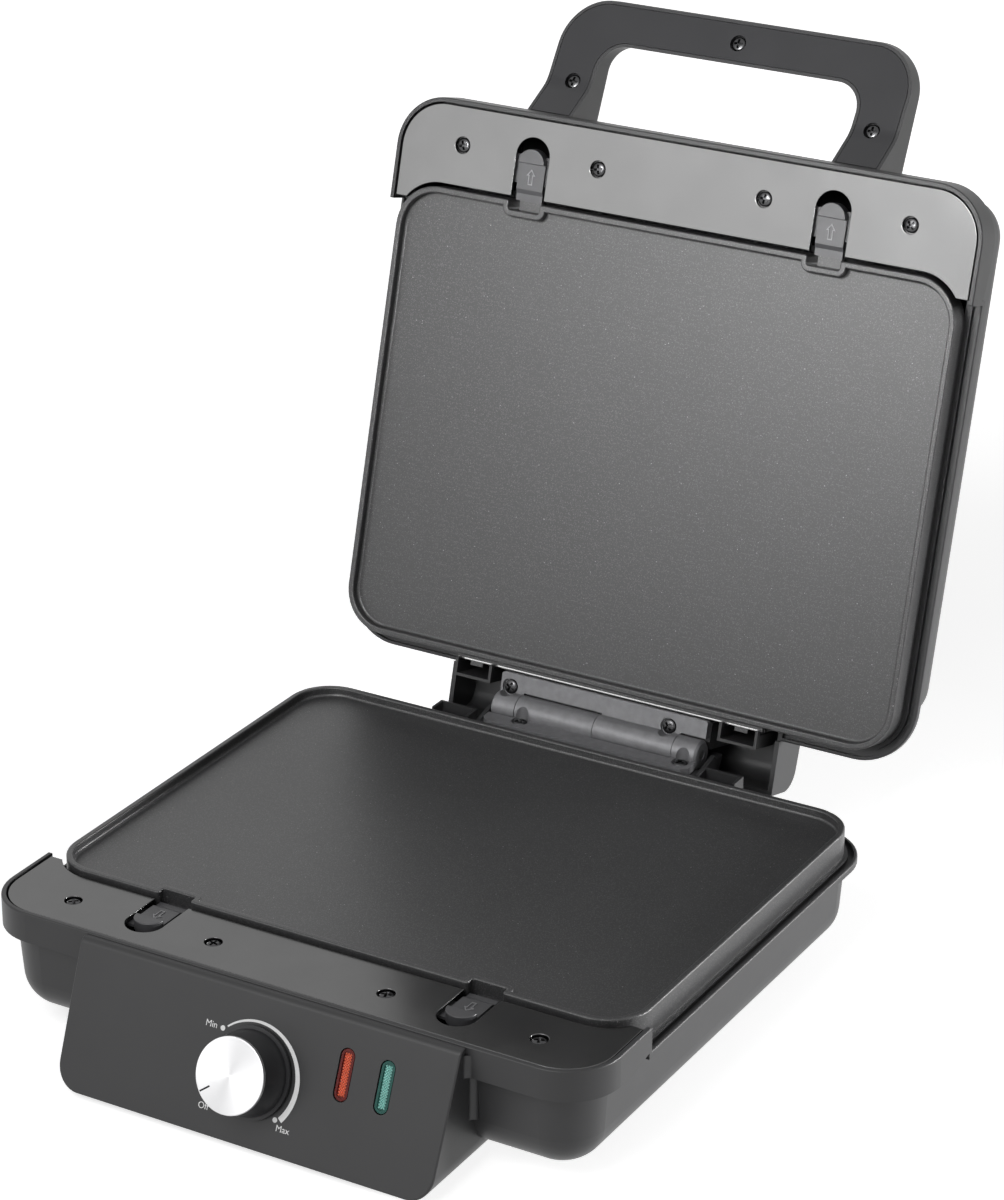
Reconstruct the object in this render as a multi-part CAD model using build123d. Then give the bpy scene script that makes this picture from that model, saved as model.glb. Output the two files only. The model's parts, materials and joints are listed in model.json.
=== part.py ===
"""Three-in-one sandwich maker, a hinged-lid countertop contact grill, in the open pose of its photograph."""
import os
from math import cos, degrees, hypot, atan2, radians, sin, tan

from build123d import *

os.makedirs("parts", exist_ok=True)

# Every part is drawn with the hinge axis as origin, the front towards -Y and the lid closed on the base.
# The lid half is the mirror of the base half in the parting plane z = 0, then it is swung open.
# A value named reach, step, gap or inset is the distance from the neighbour that it is tied to.

# Pose
lid_open_angle = 105.35

# Hinge
barrel_radius = 6.75
barrel_chamfer = 1.0
pin_radius = 2.5
pin_fit = 0.05
pin_inset = 0.4
hinge_half = 53.0
end_knuckle = 12.5
knuckle_gap = 0.3
leaf_relief = 0.75
leaf_depth = 7.8
leaf_face = -1.0
leaf_thick = 3.5
lower_leaf_corner = 3.0
upper_leaf_corner = 0.8
leaf_screw_gap = 1.5
lower_screw_insets = (17.2, 6.3)
upper_screw_insets = (5.0, 19.0)
scallop_gap = 0.6
leaf_bore_depth = 1.2
leaf_overhang = 0.9
seat_side = 3.0
upper_seat_side = 0.6
seat_clear = 0.45
seat_plate = 3.6
upper_seat_back = -2.0
rib_thick = 2.5
inner_rib_x = 20.0
gusset_drop = 20.0
cheek_thick = 2.0
cheek_root = 0.5
cheek_back = 4.0
cheek_back_z = -0.8
cheek_front_z = -5.2

# Cooking plates
leaf_plate_gap = 3.2
plate_half = 140.0
plate_length = 209.5
plate_corner = 20.0
rim_top = -0.5
rim_width = 2.8
rim_round = 0.7
recess_depth = 4.2
recess_fillet = 1.2
plate_floor = 2.6
plate_wall = 2.4
notch_width = 16.0
notch_depth = 4.3
notch_corner = 1.2
ledge_half = 78.6
ledge_gap = 0.5
ledge_top = -3.5
ledge_thick = 2.4
ledge_round = 0.4
lug_x = 68.3
lug_width = 6.4
lug_reach = 1.9
keeper_width = 11.0
keeper_reach = 1.6
keeper_thick = 3.0
root_overlap = 1.0

# Rim flange and front band, shared by base and lid
rim_reach = 6.0
deck_reach = 40.5
rear_reach = 6.5
rim_front_corner = 24.0
rim_back_corner = 27.0
flange_top = -13.0
flange_thick = 3.0
flange_round = 0.8
band_top = -2.3
band_return = 9.0
band_wall = 2.0
band_round = 0.7
pocket_length = 14.0
pocket_depth = 3.0
channel_lip = 1.5
channel_inner = 4.2
channel_depth = 2.2
shell_wall = 2.2

# Base tub
tub_step = 6.0
tub_front_step = 4.9
tub_back_step = 4.8
tub_corner = 20.5
tub_bottom = -54.0
tub_draft = 4.0
tub_edge = 16.5

# Lid dome, drawn downwards like the tub and mirrored afterwards
dome_step = 5.0
dome_back_step = 14.5
dome_corner = 19.0
dome_top = -50.0
dome_draft = 2.9
dome_edge = 16.3

# Reflector trays and heating elements
tray_rim_thick = 1.0
tray_inset = 0.4
pan_gap = 2.8
pan_front_inset = 3.9
pan_depth = 15.0
pan_sheet = 0.8
element_radius = 3.2
element_side_inset = 50.0
element_end_inset = 33.0
terminal_x = 14.0
terminal_bend = 8.0
terminal_length = 5.0
saddle_width = 10.0
saddle_thick = 2.0

# Decks: the bezels in front of the plates
deck_gap = 0.9
deck_sink = 0.5
deck_end_gap = 2.0
deck_plate_gap = 1.75
deck_thick = 2.2
deck_round = 0.3
deck_screw_x = (41.5, 111.7)
deck_screw_inset = 20.2
head_gap = 0.4
deck_bore_depth = 2.3
cup_wall = 1.5
cup_floor = 1.4
boss_radius = 3.8

# Plate latches
latch_x = 75.0
latch_width = 13.4
latch_head_run = 17.4
latch_reach = 1.4
latch_head_top = -1.7
latch_top = -3.8
latch_bottom = -6.6
latch_nose_length = 5.3
latch_bend_drop = 1.0
latch_bend_run = 2.0
latch_round = 0.4
latch_travel = 4.0
travel_gap = 1.2
wing_reach = 3.3
wing_lead = 3.6
wing_length = 13.0
slide_gap = 0.3
slot_gap = 1.8
rail_width = 2.0
rail_lip = 1.6
stop_gap = 1.0

# Rear sockets that take the plate lugs
lug_side_gap = 5.1
lug_end_gap = 4.4
socket_wall = 1.3
socket_drop = 0.7
finger_cover = 0.9

# Hinge shroud on the lid
shroud_side_gap = 6.5
shroud_clear = 4.05
shroud_lip_z = 11.0
shroud_top_back = 33.0
shroud_top_front = 35.5
shroud_edge = 10.0
sweep_gap = 0.5

# Handle
handle_half = 88.0
handle_reach = 53.0
handle_corner = 22.0
handle_bar = 19.5
handle_side = 23.0
handle_opening_corner = 12.0
handle_root_depth = 5.5
handle_foot_z = 3.9
handle_flat = 40.0
handle_knee_z = 30.2
handle_knee_radius = 15.0
handle_rise = 14.0
handle_tip_thick = 9.9
handle_back_fall = 11.5
handle_lip = 1.5
handle_wall = 2.4
handle_edge = 4.0
cover_thick = 3.0
cover_gap = 0.25
cover_bore_depth = 2.2
side_screw_inset = 13.0
side_screw_drop = 2.0
tip_screw_inset = 10.0

# Screws
screw_head_radius = 3.4
screw_head_height = 1.9
screw_head_round = 0.55
screw_shank_radius = 1.5
screw_length = 9.0
hinge_screw_head_height = 1.6

# Control box
panel_reach = 3.5
panel_drop = 0.7
panel_slope = 22.5
box_bottom = -61.4
box_depth = 38.6
box_top_half = 90.6
box_taper = 1.0
box_corner = 11.0
box_edge = 3.0
box_side_edge = 0.8
box_wall = 2.4
cove_radius = 2.6

# Knob, shaft and thermostat
knob_drop = 32.8
knob_skirt_radius = 17.9
knob_taper = 2.1
knob_height = 16.3
knob_foot_reach = 1.3
knob_foot_thick = 1.2
knob_cap_thick = 1.6
knob_cap_round = 0.4
knob_lift = 0.8
knob_wall = 2.0
knob_core_wall = 2.5
shaft_radius = 3.0
shaft_fit = 0.05
shaft_hole_gap = 2.0
thermostat_half = 12.0
thermostat_depth = 14.0
thermostat_floor = 1.0

# Indicator lenses
lens_side_inset = 30.2
lens_pitch = 18.7
lens_drop = 22.5
lens_width = 5.9
lens_length = 21.1
lens_border = 0.5
lens_sink = 0.4
lens_rim = 1.0
lens_strip_sink = 0.5
lens_flange = 1.5
lens_flange_thick = 1.2
lamp_radius = 2.5
lamp_length = 9.0

# Feet, vents and cord gland
pad_radius = 6.0
pad_height = 3.6
pad_round = 0.5
front_pad_inset = 16.0
front_pad_lead = 25.0
rear_inset = 35.0
rear_pad_lead = 28.2
post_radius = 7.0
pillar_lead = 30.0
vent_count = 6
vent_pitch = 9.0
vent_width = 3.0
vent_length = 34.0
gland_z = -35.0
gland_radius = 5.0
gland_bore = 3.2
gland_tip_wall = 1.0
gland_length = 22.0
gland_collar_reach = 2.5
gland_collar_thick = 2.5

# Places of the hinge and the plates
leaf_relief_y = -barrel_radius - leaf_relief
leaf_front = leaf_relief_y - leaf_depth
leaf_screw_y = leaf_relief_y - leaf_screw_gap
seat_half = hinge_half + seat_side
seat_front = leaf_front + leaf_overhang
seat_top = leaf_face - leaf_thick
upper_seat_half = hinge_half + upper_seat_side
trough_radius = barrel_radius + seat_clear
lower_screw_x = (-hinge_half + lower_screw_insets[0], hinge_half - lower_screw_insets[1])
upper_screw_x = (-hinge_half + upper_screw_insets[0], hinge_half - upper_screw_insets[1])
rib_x = (inner_rib_x, seat_half - rib_thick / 2)
upper_rib_x = (inner_rib_x, upper_seat_half - rib_thick / 2)
plate_back = leaf_front - leaf_plate_gap
plate_front = plate_back - plate_length
plate_foot = flange_top + tray_rim_thick
recess_floor = rim_top - recess_depth
plate_underside = recess_floor - plate_floor
notch_y = plate_front + notch_depth
ledge_back = leaf_front - ledge_gap
ledge_low = ledge_top - ledge_thick
lug_back = ledge_back + lug_reach
keeper_front = plate_front - keeper_reach

# Places of the shells and trays
rim_half = plate_half + rim_reach
rim_front = plate_front - deck_reach
rim_back = plate_back + rear_reach
flange_bottom = flange_top - flange_thick
band_back = plate_front + band_return
tub_half = rim_half - tub_step
tub_front = rim_front + tub_front_step
tub_back = rim_back - tub_back_step
dome_half = rim_half - dome_step
dome_front = rim_front + dome_step
dome_back = rim_back - dome_back_step
pan_half = min(tub_half, dome_half) - shell_wall - pan_gap
pan_front = plate_front + pan_front_inset
pan_back = dome_back - shell_wall - pan_gap
pan_floor = flange_top - pan_depth
element_half = plate_half - element_side_inset
element_front = plate_front + element_end_inset
element_back = plate_back - element_end_inset

# Places of the decks and latches
deck_top = band_top - deck_sink
deck_underside = deck_top - deck_thick
deck_screw_y = rim_front + deck_screw_inset
deck_bore_radius = screw_head_radius + head_gap
deck_seat = deck_top - deck_bore_depth
cup_bottom = deck_seat - cup_floor
boss_depth = cup_bottom - screw_length
latch_head_y = plate_front - latch_head_run
latch_nose_y = keeper_front + latch_reach
latch_bend_y = latch_nose_y - latch_nose_length
keeper_top = latch_bottom - slide_gap
wing_half = latch_width / 2 + wing_reach
wing_front = latch_head_y - wing_lead
wing_back = wing_front + wing_length
wing_top = deck_underside - slide_gap
slot_half = latch_width / 2 + slot_gap
slot_tip = latch_head_y - latch_width / 2 - latch_travel - travel_gap
rail_front = slot_tip - stop_gap - rail_width
rail_back = wing_back + latch_travel
rail_lip_top = latch_bottom - slide_gap
rail_bottom = rail_lip_top - rail_lip

# Places of the sockets, the shroud and the hinge shelf's round back
socket_half = lug_width / 2 + lug_side_gap + socket_wall
socket_back = lug_back + lug_end_gap + socket_wall
socket_top = -socket_drop
finger_front = ledge_back - finger_cover
finger_low = ledge_top + slide_gap
shroud_half = lug_x + socket_half + shroud_side_gap
shroud_back = barrel_radius + shroud_clear + shell_wall
seat_sweep_radius = hypot(shroud_back - shell_wall, shroud_lip_z) - sweep_gap

# Places of the handle
handle_front = rim_front - handle_reach
handle_opening_half = handle_half - handle_side
handle_root_y = dome_front + handle_root_depth
handle_knee_y = handle_front + handle_flat
handle_tip_z = handle_knee_z + handle_rise
handle_tip_back_z = handle_tip_z + handle_tip_thick
handle_root_back_z = handle_tip_back_z - handle_back_fall
handle_slope = handle_rise / handle_flat
handle_tilt = degrees(atan2(handle_rise, handle_flat))
handle_back_slope = handle_back_fall / (handle_root_y - handle_front)
side_screw_x = handle_half - side_screw_inset
side_screw_y = handle_knee_y - side_screw_drop
handle_screw_spots = (
    (-side_screw_x, side_screw_y),
    (side_screw_x, side_screw_y),
    (0.0, handle_front + tip_screw_inset),
)
cover_bore_radius = screw_head_radius + head_gap

# Places of the control box, its fittings and the feet
panel_top_y = rim_front - panel_reach
panel_top_z = band_top - panel_drop
panel_rad = radians(panel_slope)
box_cove_low = tub_bottom + tub_edge
box_back = tub_front + box_depth
box_bottom_half = box_top_half - box_taper
floor_z = box_bottom - pad_height
knob_cap_radius = knob_skirt_radius - knob_taper
knob_core_radius = shaft_radius + knob_core_wall
knob_front_y = panel_top_y - (knob_drop + knob_cap_radius) * sin(panel_rad) - knob_height * cos(panel_rad)
shaft_hole_radius = shaft_radius + shaft_hole_gap
shaft_depth = thermostat_depth - thermostat_floor
green_lens_x = box_top_half - lens_side_inset
lens_x = (green_lens_x - lens_pitch, green_lens_x)
front_pad_spot = (box_bottom_half - front_pad_inset, box_back - front_pad_lead)
rear_pad_spot = (tub_half - rear_inset, tub_back - rear_pad_lead)
vent_x = tub_half / 2
vent_y = (tub_front + tub_back) / 2
gland_x = tub_half - rear_inset
gland_collar = gland_radius + gland_collar_reach

# Middle of the open object, front to back
open_rad = radians(lid_open_angle)
far_back_y = handle_tip_back_z * sin(open_rad) + handle_front * cos(open_rad)
centre_y = (knob_front_y + far_back_y) / 2

# Length of a cutting tool that passes right through a part, and how far a flat face's edge may be off
through = 60.0
flat_tolerance = 0.05


# Shared helpers
def plan(half, front, back, front_corner, back_corner):
    """A rectangle in plan, symmetric left to right, with its own front and back corner radii."""
    shape = Pos(0, (front + back) / 2) * Rectangle(2 * half, back - front)
    shape = fillet(shape.vertices().group_by(Axis.Y)[0], front_corner)
    return fillet(shape.vertices().group_by(Axis.Y)[-1], back_corner)


def slab(shape, low, high):
    """A flat sketch made solid between two heights."""
    return Pos(0, 0, low) * extrude(shape, high - low)


def block(x_low, x_high, y_low, y_high, z_low, z_high):
    """A box given by its limits."""
    size = (x_high - x_low, y_high - y_low, z_high - z_low)
    centre = ((x_low + x_high) / 2, (y_low + y_high) / 2, (z_low + z_high) / 2)
    return Pos(*centre) * Box(*size)


def post(x, y, radius, low, high):
    """An upright cylinder between two heights."""
    return Pos(x, y, (low + high) / 2) * Cylinder(radius, high - low)


def side_solid(points, half, rounded=None, radius=0.0):
    """A profile of (y, z) points made solid across x; the corner numbered rounded gets a radius."""
    face = Plane.YZ * make_face(Polyline(*points, close=True))
    if rounded is not None:
        y, z = points[rounded]
        corner = face.vertices().sort_by_distance((0, y, z))[0]
        face = fillet(corner, radius)
    return extrude(face, half, both=True)


def drafted_form(half, front, back, corner, top, bottom, draft, edge):
    """A tub form hanging from height top, narrowing downwards, with a rounded bottom edge."""
    mouth = Plane(origin=(0, (front + back) / 2, top), x_dir=(1, 0, 0), z_dir=(0, 0, -1))
    form = extrude(mouth * RectangleRounded(2 * half, back - front, corner), top - bottom, taper=draft)
    return fillet(form.edges().group_by(Axis.Z)[0], edge)


def top_round(part, height, radius):
    """Round all edges of the part's flat top face at that height."""
    edges = [edge for edge in part.edges() if abs(edge.bounding_box().min.Z - height) < flat_tolerance]
    level = [edge for edge in edges if abs(edge.bounding_box().max.Z - height) < flat_tolerance]
    return fillet(level, radius)


def on_base(part):
    """Move a part from the hinge frame to the frame of the finished object."""
    return Pos(0, -centre_y, -floor_z) * part


def on_lid(part):
    """Swing a part of the closed lid open, then move it to the frame of the finished object."""
    return on_base(Rot(-lid_open_angle, 0, 0) * part)


def flipped(part):
    """The lid's twin of a base part, mirrored in the parting plane."""
    return mirror(part, about=Plane.XY)


def screw(head_height=screw_head_height, length=screw_length):
    """A pan-head screw pointing down, its head resting on z = 0."""
    head = Pos(0, 0, head_height / 2) * Cylinder(screw_head_radius, head_height)
    head = fillet(head.edges().group_by(Axis.Z)[-1], screw_head_round)
    return head + Pos(0, 0, -length / 2) * Cylinder(screw_shank_radius, length)


# Cooking plate, drawn as the lower one
def plate_outline():
    """Plan of the plate with the two latch notches in its front edge."""
    outline = plan(plate_half, plate_front, plate_back, plate_corner, plate_corner)
    for side in (-1, 1):
        outline -= Pos(side * latch_x, plate_front) * Rectangle(notch_width, 2 * notch_depth)
    corners = [v for v in outline.vertices() if abs(abs(v.X) - latch_x) < notch_width]
    return fillet(corners, notch_corner)


def cooking_plate():
    """Cast tray: raised rim, flat cooking floor, hollow back, rear ledge with lugs, front keepers."""
    outline = plate_outline()
    plate = slab(outline, plate_foot, rim_top)
    recess = slab(offset(outline, -rim_width), recess_floor, rim_top)
    recess = fillet(recess.edges().group_by(Axis.Z)[0], recess_fillet)
    plate = top_round(plate - recess, rim_top, rim_round)
    plate -= slab(offset(outline, -plate_wall), plate_foot, plate_underside)
    ledge = block(-ledge_half, ledge_half, plate_back - root_overlap, ledge_back, ledge_low, ledge_top)
    plate += fillet(ledge.edges().filter_by(Axis.X).sort_by(Axis.Y)[-2:].sort_by(Axis.Z)[-1], ledge_round)
    lug_root = ledge_back - root_overlap
    for side in (-1, 1):
        x = side * lug_x
        plate += block(x - lug_width / 2, x + lug_width / 2, lug_root, lug_back, ledge_low, ledge_top)
        x = side * latch_x
        low = keeper_top - keeper_thick
        half = keeper_width / 2
        plate += block(x - half, x + half, keeper_front, notch_y + root_overlap, low, keeper_top)
    return plate


# Reflector tray under the plate, with saddles for the heating element
def reflector_tray():
    """Bright sheet tray: flat rim under the plate wall and a pan that holds the heating element."""
    rim = offset(plan(plate_half, plate_front, plate_back, plate_corner, plate_corner), -tray_inset)
    pan = plan(pan_half, pan_front, pan_back, plate_corner, plate_corner)
    tray = slab(rim, flange_top, plate_foot) + slab(pan, pan_floor, flange_top)
    tray -= slab(offset(pan, -pan_sheet), pan_floor + pan_sheet, plate_foot)
    saddle_top = plate_underside - 2 * element_radius
    mid_y = (element_front + element_back) / 2
    spots = ((-element_half, mid_y), (element_half, mid_y), (0, element_front))
    for x, y in spots:
        half_x = saddle_thick / 2 if x == 0 else saddle_width / 2
        half_y = saddle_width / 2 if x == 0 else saddle_thick / 2
        tray += block(x - half_x, x + half_x, y - half_y, y + half_y, pan_floor, saddle_top)
    for side in (-1, 1):
        hole = element_radius + pan_sheet
        tray -= post(side * terminal_x, element_back, hole, pan_floor, pan_floor + pan_sheet)
    return tray


def heating_element():
    """Tubular heating element: a loop pressed to the plate, both ends turned down through the tray."""
    height = plate_underside - element_radius
    low = pan_floor - terminal_length
    path = FilletPolyline(
        (-terminal_x, element_back, low),
        (-terminal_x, element_back, height),
        (-element_half, element_back, height),
        (-element_half, element_front, height),
        (element_half, element_front, height),
        (element_half, element_back, height),
        (terminal_x, element_back, height),
        (terminal_x, element_back, low),
        radius=terminal_bend,
    )
    start = Plane(origin=(-terminal_x, element_back, low), z_dir=(0, 0, 1))
    return sweep(start * Circle(element_radius), path=path)


# Decks with the latch slots and slides
def deck():
    """Front bezel: a flat panel inside the band, with screw cups, latch slots and latch slides."""
    inset = band_wall + deck_gap
    shape = front_part(rim_plan(inset), deck_end_gap)
    gap = deck_plate_gap
    corner = plate_corner + gap
    shape -= plan(plate_half + gap, plate_front - gap, plate_back + gap, corner, corner)
    panel = slab(shape, deck_underside, deck_top)
    for x in [side * spot for side in (-1, 1) for spot in deck_screw_x]:
        panel += post(x, deck_screw_y, deck_bore_radius + cup_wall, cup_bottom, deck_underside)
        panel -= post(x, deck_screw_y, deck_bore_radius, deck_seat, deck_top)
        panel -= post(x, deck_screw_y, screw_shank_radius, cup_bottom, deck_top)
    for side in (-1, 1):
        panel -= Pos(side * latch_x, 0, 0) * latch_slot()
    panel = top_round(panel, deck_top, deck_round)
    for side in (-1, 1):
        panel += Pos(side * latch_x, 0, 0) * latch_slide()
    return panel


def latch_slot():
    """The round-ended slot a latch shows through, open towards the plate."""
    centre = slot_tip + slot_half
    slot = post(0, centre, slot_half, deck_underside, deck_top)
    return slot + block(-slot_half, slot_half, centre, plate_front, deck_underside, deck_top)


def latch_slide():
    """Two lipped rails and an end stop under the deck, holding a latch by its wings."""
    inner = wing_half + slide_gap
    outer = inner + rail_width
    slide = block(-outer, outer, rail_front, rail_front + rail_width, rail_bottom, deck_underside)
    for side in (-1, 1):
        near, far = sorted((side * inner, side * outer))
        slide += block(near, far, rail_front, rail_back, rail_bottom, deck_underside)
        near, far = sorted((side * slot_half, side * outer))
        slide += block(near, far, rail_front, rail_back, rail_bottom, rail_lip_top)
    return slide


def deck_screws():
    """The four screws that hold a deck down on its bosses."""
    spots = [side * spot for side in (-1, 1) for spot in deck_screw_x]
    return Compound([Pos(x, deck_screw_y, deck_seat) * screw() for x in spots])


def latch(side):
    """Sliding plate latch: raised thumb head, sunk body with side wings, nose bent over the keeper."""
    half = latch_width / 2
    tail = latch_head_y - half
    bent = latch_top - latch_bend_drop
    profile = (
        (tail, latch_bottom),
        (latch_nose_y, latch_bottom),
        (latch_nose_y, bent),
        (latch_bend_y + latch_bend_run, bent),
        (latch_bend_y, latch_top),
        (tail, latch_top),
    )
    outline = block(-half, half, latch_head_y, latch_nose_y, latch_bottom, latch_top)
    outline += post(0, latch_head_y, half, latch_bottom, latch_top)
    body = side_solid(profile, half) & outline
    head = post(0, latch_head_y, half, latch_top, latch_head_top)
    head -= block(-half, half, latch_head_y, latch_head_y + half, latch_top, latch_head_top)
    head = fillet(head.edges().group_by(Axis.Z)[-1], latch_round)
    wings = block(-wing_half, wing_half, wing_front, wing_back, latch_bottom, wing_top)
    return Pos(side * latch_x, 0, 0) * (body + head + wings)


# Hinge
def knuckle(x_low, x_high, bore):
    """One barrel knuckle with its running gap and pin bore."""
    length = x_high - x_low - knuckle_gap
    barrel = Cylinder(barrel_radius, length)
    if x_high == hinge_half:
        barrel = chamfer(barrel.edges().group_by(Axis.Z)[-1], barrel_chamfer)
    if x_low == -hinge_half:
        barrel = chamfer(barrel.edges().group_by(Axis.Z)[0], barrel_chamfer)
    centre = Pos((x_low + x_high) / 2, 0, 0) * Rot(0, 90, 0)
    return centre * (barrel - Cylinder(bore, length))


def hinge_leaf(own_spans, screw_x, bore, corner):
    """One cast leaf, drawn as the lower one: flange plate, its own knuckles, screw seats and reliefs."""
    low = leaf_face - leaf_thick
    leaf = block(-hinge_half, hinge_half, leaf_front, leaf_relief_y, low, leaf_face)
    for x_low, x_high in own_spans:
        gap = knuckle_gap / 2
        leaf += block(x_low + gap, x_high - gap, leaf_relief_y, 0, low, leaf_face)
        core = Cylinder(barrel_radius - root_overlap, x_high - x_low)
        leaf -= Pos((x_low + x_high) / 2, 0, 0) * Rot(0, 90, 0) * core
        leaf += knuckle(x_low, x_high, bore)
    corners = [e for e in leaf.edges().filter_by(Axis.Z) if e.center().Y < leaf_front + leaf_overhang]
    leaf = chamfer(corners, corner)
    seat = leaf_face - leaf_bore_depth
    for x in screw_x:
        leaf -= post(x, leaf_screw_y, screw_head_radius + scallop_gap, seat, barrel_radius)
        leaf -= post(x, leaf_screw_y, screw_shank_radius, low, seat)
    return leaf


def hinge_spans():
    """Knuckle spans along the barrel: upper, lower, upper, lower from the left."""
    left = -hinge_half
    right = hinge_half
    upper = ((left, left + end_knuckle), (0, right - end_knuckle))
    lower = ((left + end_knuckle, 0), (right - end_knuckle, right))
    return upper, lower


def leaf_screws(screw_x):
    """The screws of one leaf, drawn for the lower one."""
    seat = leaf_face - leaf_bore_depth
    screws = [Pos(x, leaf_screw_y, seat) * screw(hinge_screw_head_height) for x in screw_x]
    return Compound(screws)


def hinge_pin():
    """The pin through all four knuckles, held in the lower leaf."""
    return Rot(0, 90, 0) * Cylinder(pin_radius, 2 * (hinge_half - pin_inset))


def lug_socket(x, deep):
    """U-shaped socket round a plate lug, standing up from height deep, two fingers over the ledge."""
    outer = block(x - socket_half, x + socket_half, seat_front, socket_back, deep, socket_top)
    inner_half = socket_half - socket_wall
    inner_back = socket_back - socket_wall
    outer -= block(x - inner_half, x + inner_half, seat_front, inner_back, deep, socket_top)
    for side in (-1, 1):
        near, far = sorted((x + side * inner_half, x + side * socket_half))
        outer += block(near, far, finger_front, seat_front, finger_low, socket_top)
    return outer


# Rim and shell forms shared by both halves
def rim_plan(inset=0.0):
    """Plan of the flange and band, moved inwards by inset."""
    outline = plan(rim_half, rim_front, rim_back, rim_front_corner, rim_back_corner)
    return offset(outline, -inset) if inset else outline


def front_part(shape, gap=0.0):
    """The part of a plan that lies in front of the band's ends, with a gap to them."""
    return shape & (Pos(0, band_back - gap - through) * Rectangle(3 * rim_half, 2 * through))


def half_shell(half, front, back, corner, bottom, draft, edge):
    """One drafted housing shell with its flange, grooved rim and upstanding front band."""
    form = drafted_form(half, front, back, corner, flange_bottom, bottom, draft, edge)
    flange = top_round(slab(rim_plan(), flange_bottom, flange_top), flange_top, flange_round)
    band = slab(front_part(rim_plan()), flange_bottom, band_top)
    outside = form + flange + top_round(band, band_top, band_round)
    wall = shell_wall
    deep = bottom + wall
    inner_corner = corner - wall
    hollow = drafted_form(
        half - wall, front + wall, back - wall, inner_corner, flange_bottom, deep, draft, edge - wall
    )
    mouth = Pos(0, (front + back) / 2) * RectangleRounded(
        2 * (half - wall), back - front - 2 * wall, inner_corner
    )
    shell = outside - hollow - slab(mouth, flange_bottom, flange_top)
    shell -= slab(front_part(rim_plan(band_wall)), flange_top, band_top)
    groove = rim_plan(channel_lip) - rim_plan(channel_inner)
    groove -= front_part(rim_plan())
    shell -= slab(groove, flange_top - channel_depth, flange_top)
    for side in (-1, 1):
        shell -= Pos(side * rim_half, 0, 0) * end_pocket()
    return shell, outside


def end_pocket():
    """Three-sided pocket under the end of the band, where the flange runs out into it."""
    corners = (
        (band_back - deck_end_gap - pocket_length, flange_bottom),
        (band_back - deck_end_gap, flange_top),
        (band_back - deck_end_gap, flange_bottom),
    )
    return side_solid(corners, pocket_depth)


def deck_bosses(outside):
    """Pillars under the deck screws, cut off by the outside of the shell."""
    spots = [side * spot for side in (-1, 1) for spot in deck_screw_x]
    low = tub_bottom
    pillars = Part() + [post(x, deck_screw_y, boss_radius, low, cup_bottom) for x in spots]
    pillars &= outside
    for x in spots:
        pillars -= post(x, deck_screw_y, screw_shank_radius, boss_depth, cup_bottom)
    return pillars


# Base housing
def base_housing():
    """Lower shell with deck bosses, tray pillars, hinge seat, lug sockets, rear posts and vents."""
    shell, outside = half_shell(
        tub_half, tub_front, tub_back, tub_corner, tub_bottom, tub_draft, tub_edge
    )
    shell += deck_bosses(outside)
    x, y = rear_pad_spot
    pillar_foot = tub_bottom + shell_wall / 2
    for side in (-1, 1):
        shell += post(side * x, y, post_radius, box_bottom, tub_bottom + shell_wall)
        shell += post(side * x, y - pad_radius, boss_radius, pillar_foot, pan_floor)
        shell += post(side * x, plate_front + pillar_lead, boss_radius, pillar_foot, pan_floor)
        shell += lug_socket(side * lug_x, flange_bottom)
    shell += base_hinge_seat()
    start = vent_y - vent_pitch * (vent_count - 1) / 2
    for side in (-1, 1):
        for number in range(vent_count):
            y = start + number * vent_pitch
            half = vent_length / 2
            x = side * vent_x
            high = tub_bottom + shell_wall
            shell -= block(x - half, x + half, y - vent_width / 2, y + vent_width / 2, tub_bottom, high)
    bore = Pos(gland_x, tub_back, gland_z) * Rot(90, 0, 0) * Cylinder(gland_radius, 4 * shell_wall)
    return shell - bore, outside


def base_hinge_seat():
    """Shelf under the lower leaf, round to clear the swinging shroud, with a thin web at each end."""
    shelf = block(-seat_half, seat_half, seat_front, seat_sweep_radius, flange_top, seat_top)
    sweep_drum = Rot(0, 90, 0) * Cylinder(seat_sweep_radius, 2 * seat_half)
    front_zone = block(-seat_half, seat_half, seat_front, 0, flange_top, seat_top)
    shelf &= front_zone + sweep_drum
    trough = Rot(0, 90, 0) * Cylinder(trough_radius, 2 * seat_half)
    shelf -= trough
    for x in lower_screw_x:
        shelf -= post(x, leaf_screw_y, screw_shank_radius, flange_top, seat_top)
    gusset = (
        (tub_back - shell_wall / 2, flange_top),
        (0, flange_top),
        (0, flange_top - root_overlap),
        (tub_back - shell_wall / 2, flange_top - gusset_drop),
    )
    for x in rib_x:
        for side in (-1, 1):
            shelf += Pos(side * x, 0, 0) * side_solid(gusset, rib_thick / 2)
    cheek = (
        (seat_front, flange_top),
        (cheek_back, flange_top),
        (cheek_back, cheek_back_z),
        (seat_front, cheek_front_z),
    )
    cheek_x = seat_half - cheek_root + cheek_thick / 2
    for side in (-1, 1):
        shelf += Pos(side * cheek_x, 0, 0) * side_solid(cheek, cheek_thick / 2)
    return shelf


# Lid housing
def lid_housing():
    """Upper shell with deck bosses, hinge shroud and seat, lug sockets and the handle's back shell."""
    shell, outside = half_shell(
        dome_half, dome_front, dome_back, dome_corner, dome_top, dome_draft, dome_edge
    )
    shell += deck_bosses(outside)
    shell = flipped(shell)
    outside = flipped(outside)
    dome = flipped(drafted_form(
        dome_half, dome_front, dome_back, dome_corner, flange_bottom, dome_top, dome_draft, dome_edge
    ))
    inner = shroud_half - shell_wall
    low = -flange_top
    high = -flange_bottom
    shell -= block(-inner, inner, dome_back, rim_back, low, high)
    shell += shroud() - dome - block(-inner, inner, dome_back, rim_back, low, high)
    shell += upper_hinge_seat() - dome
    for side in (-1, 1):
        shell += flipped(lug_socket(side * lug_x, -shroud_top_back))
    shell += handle_back() - outside
    return shell


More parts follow.
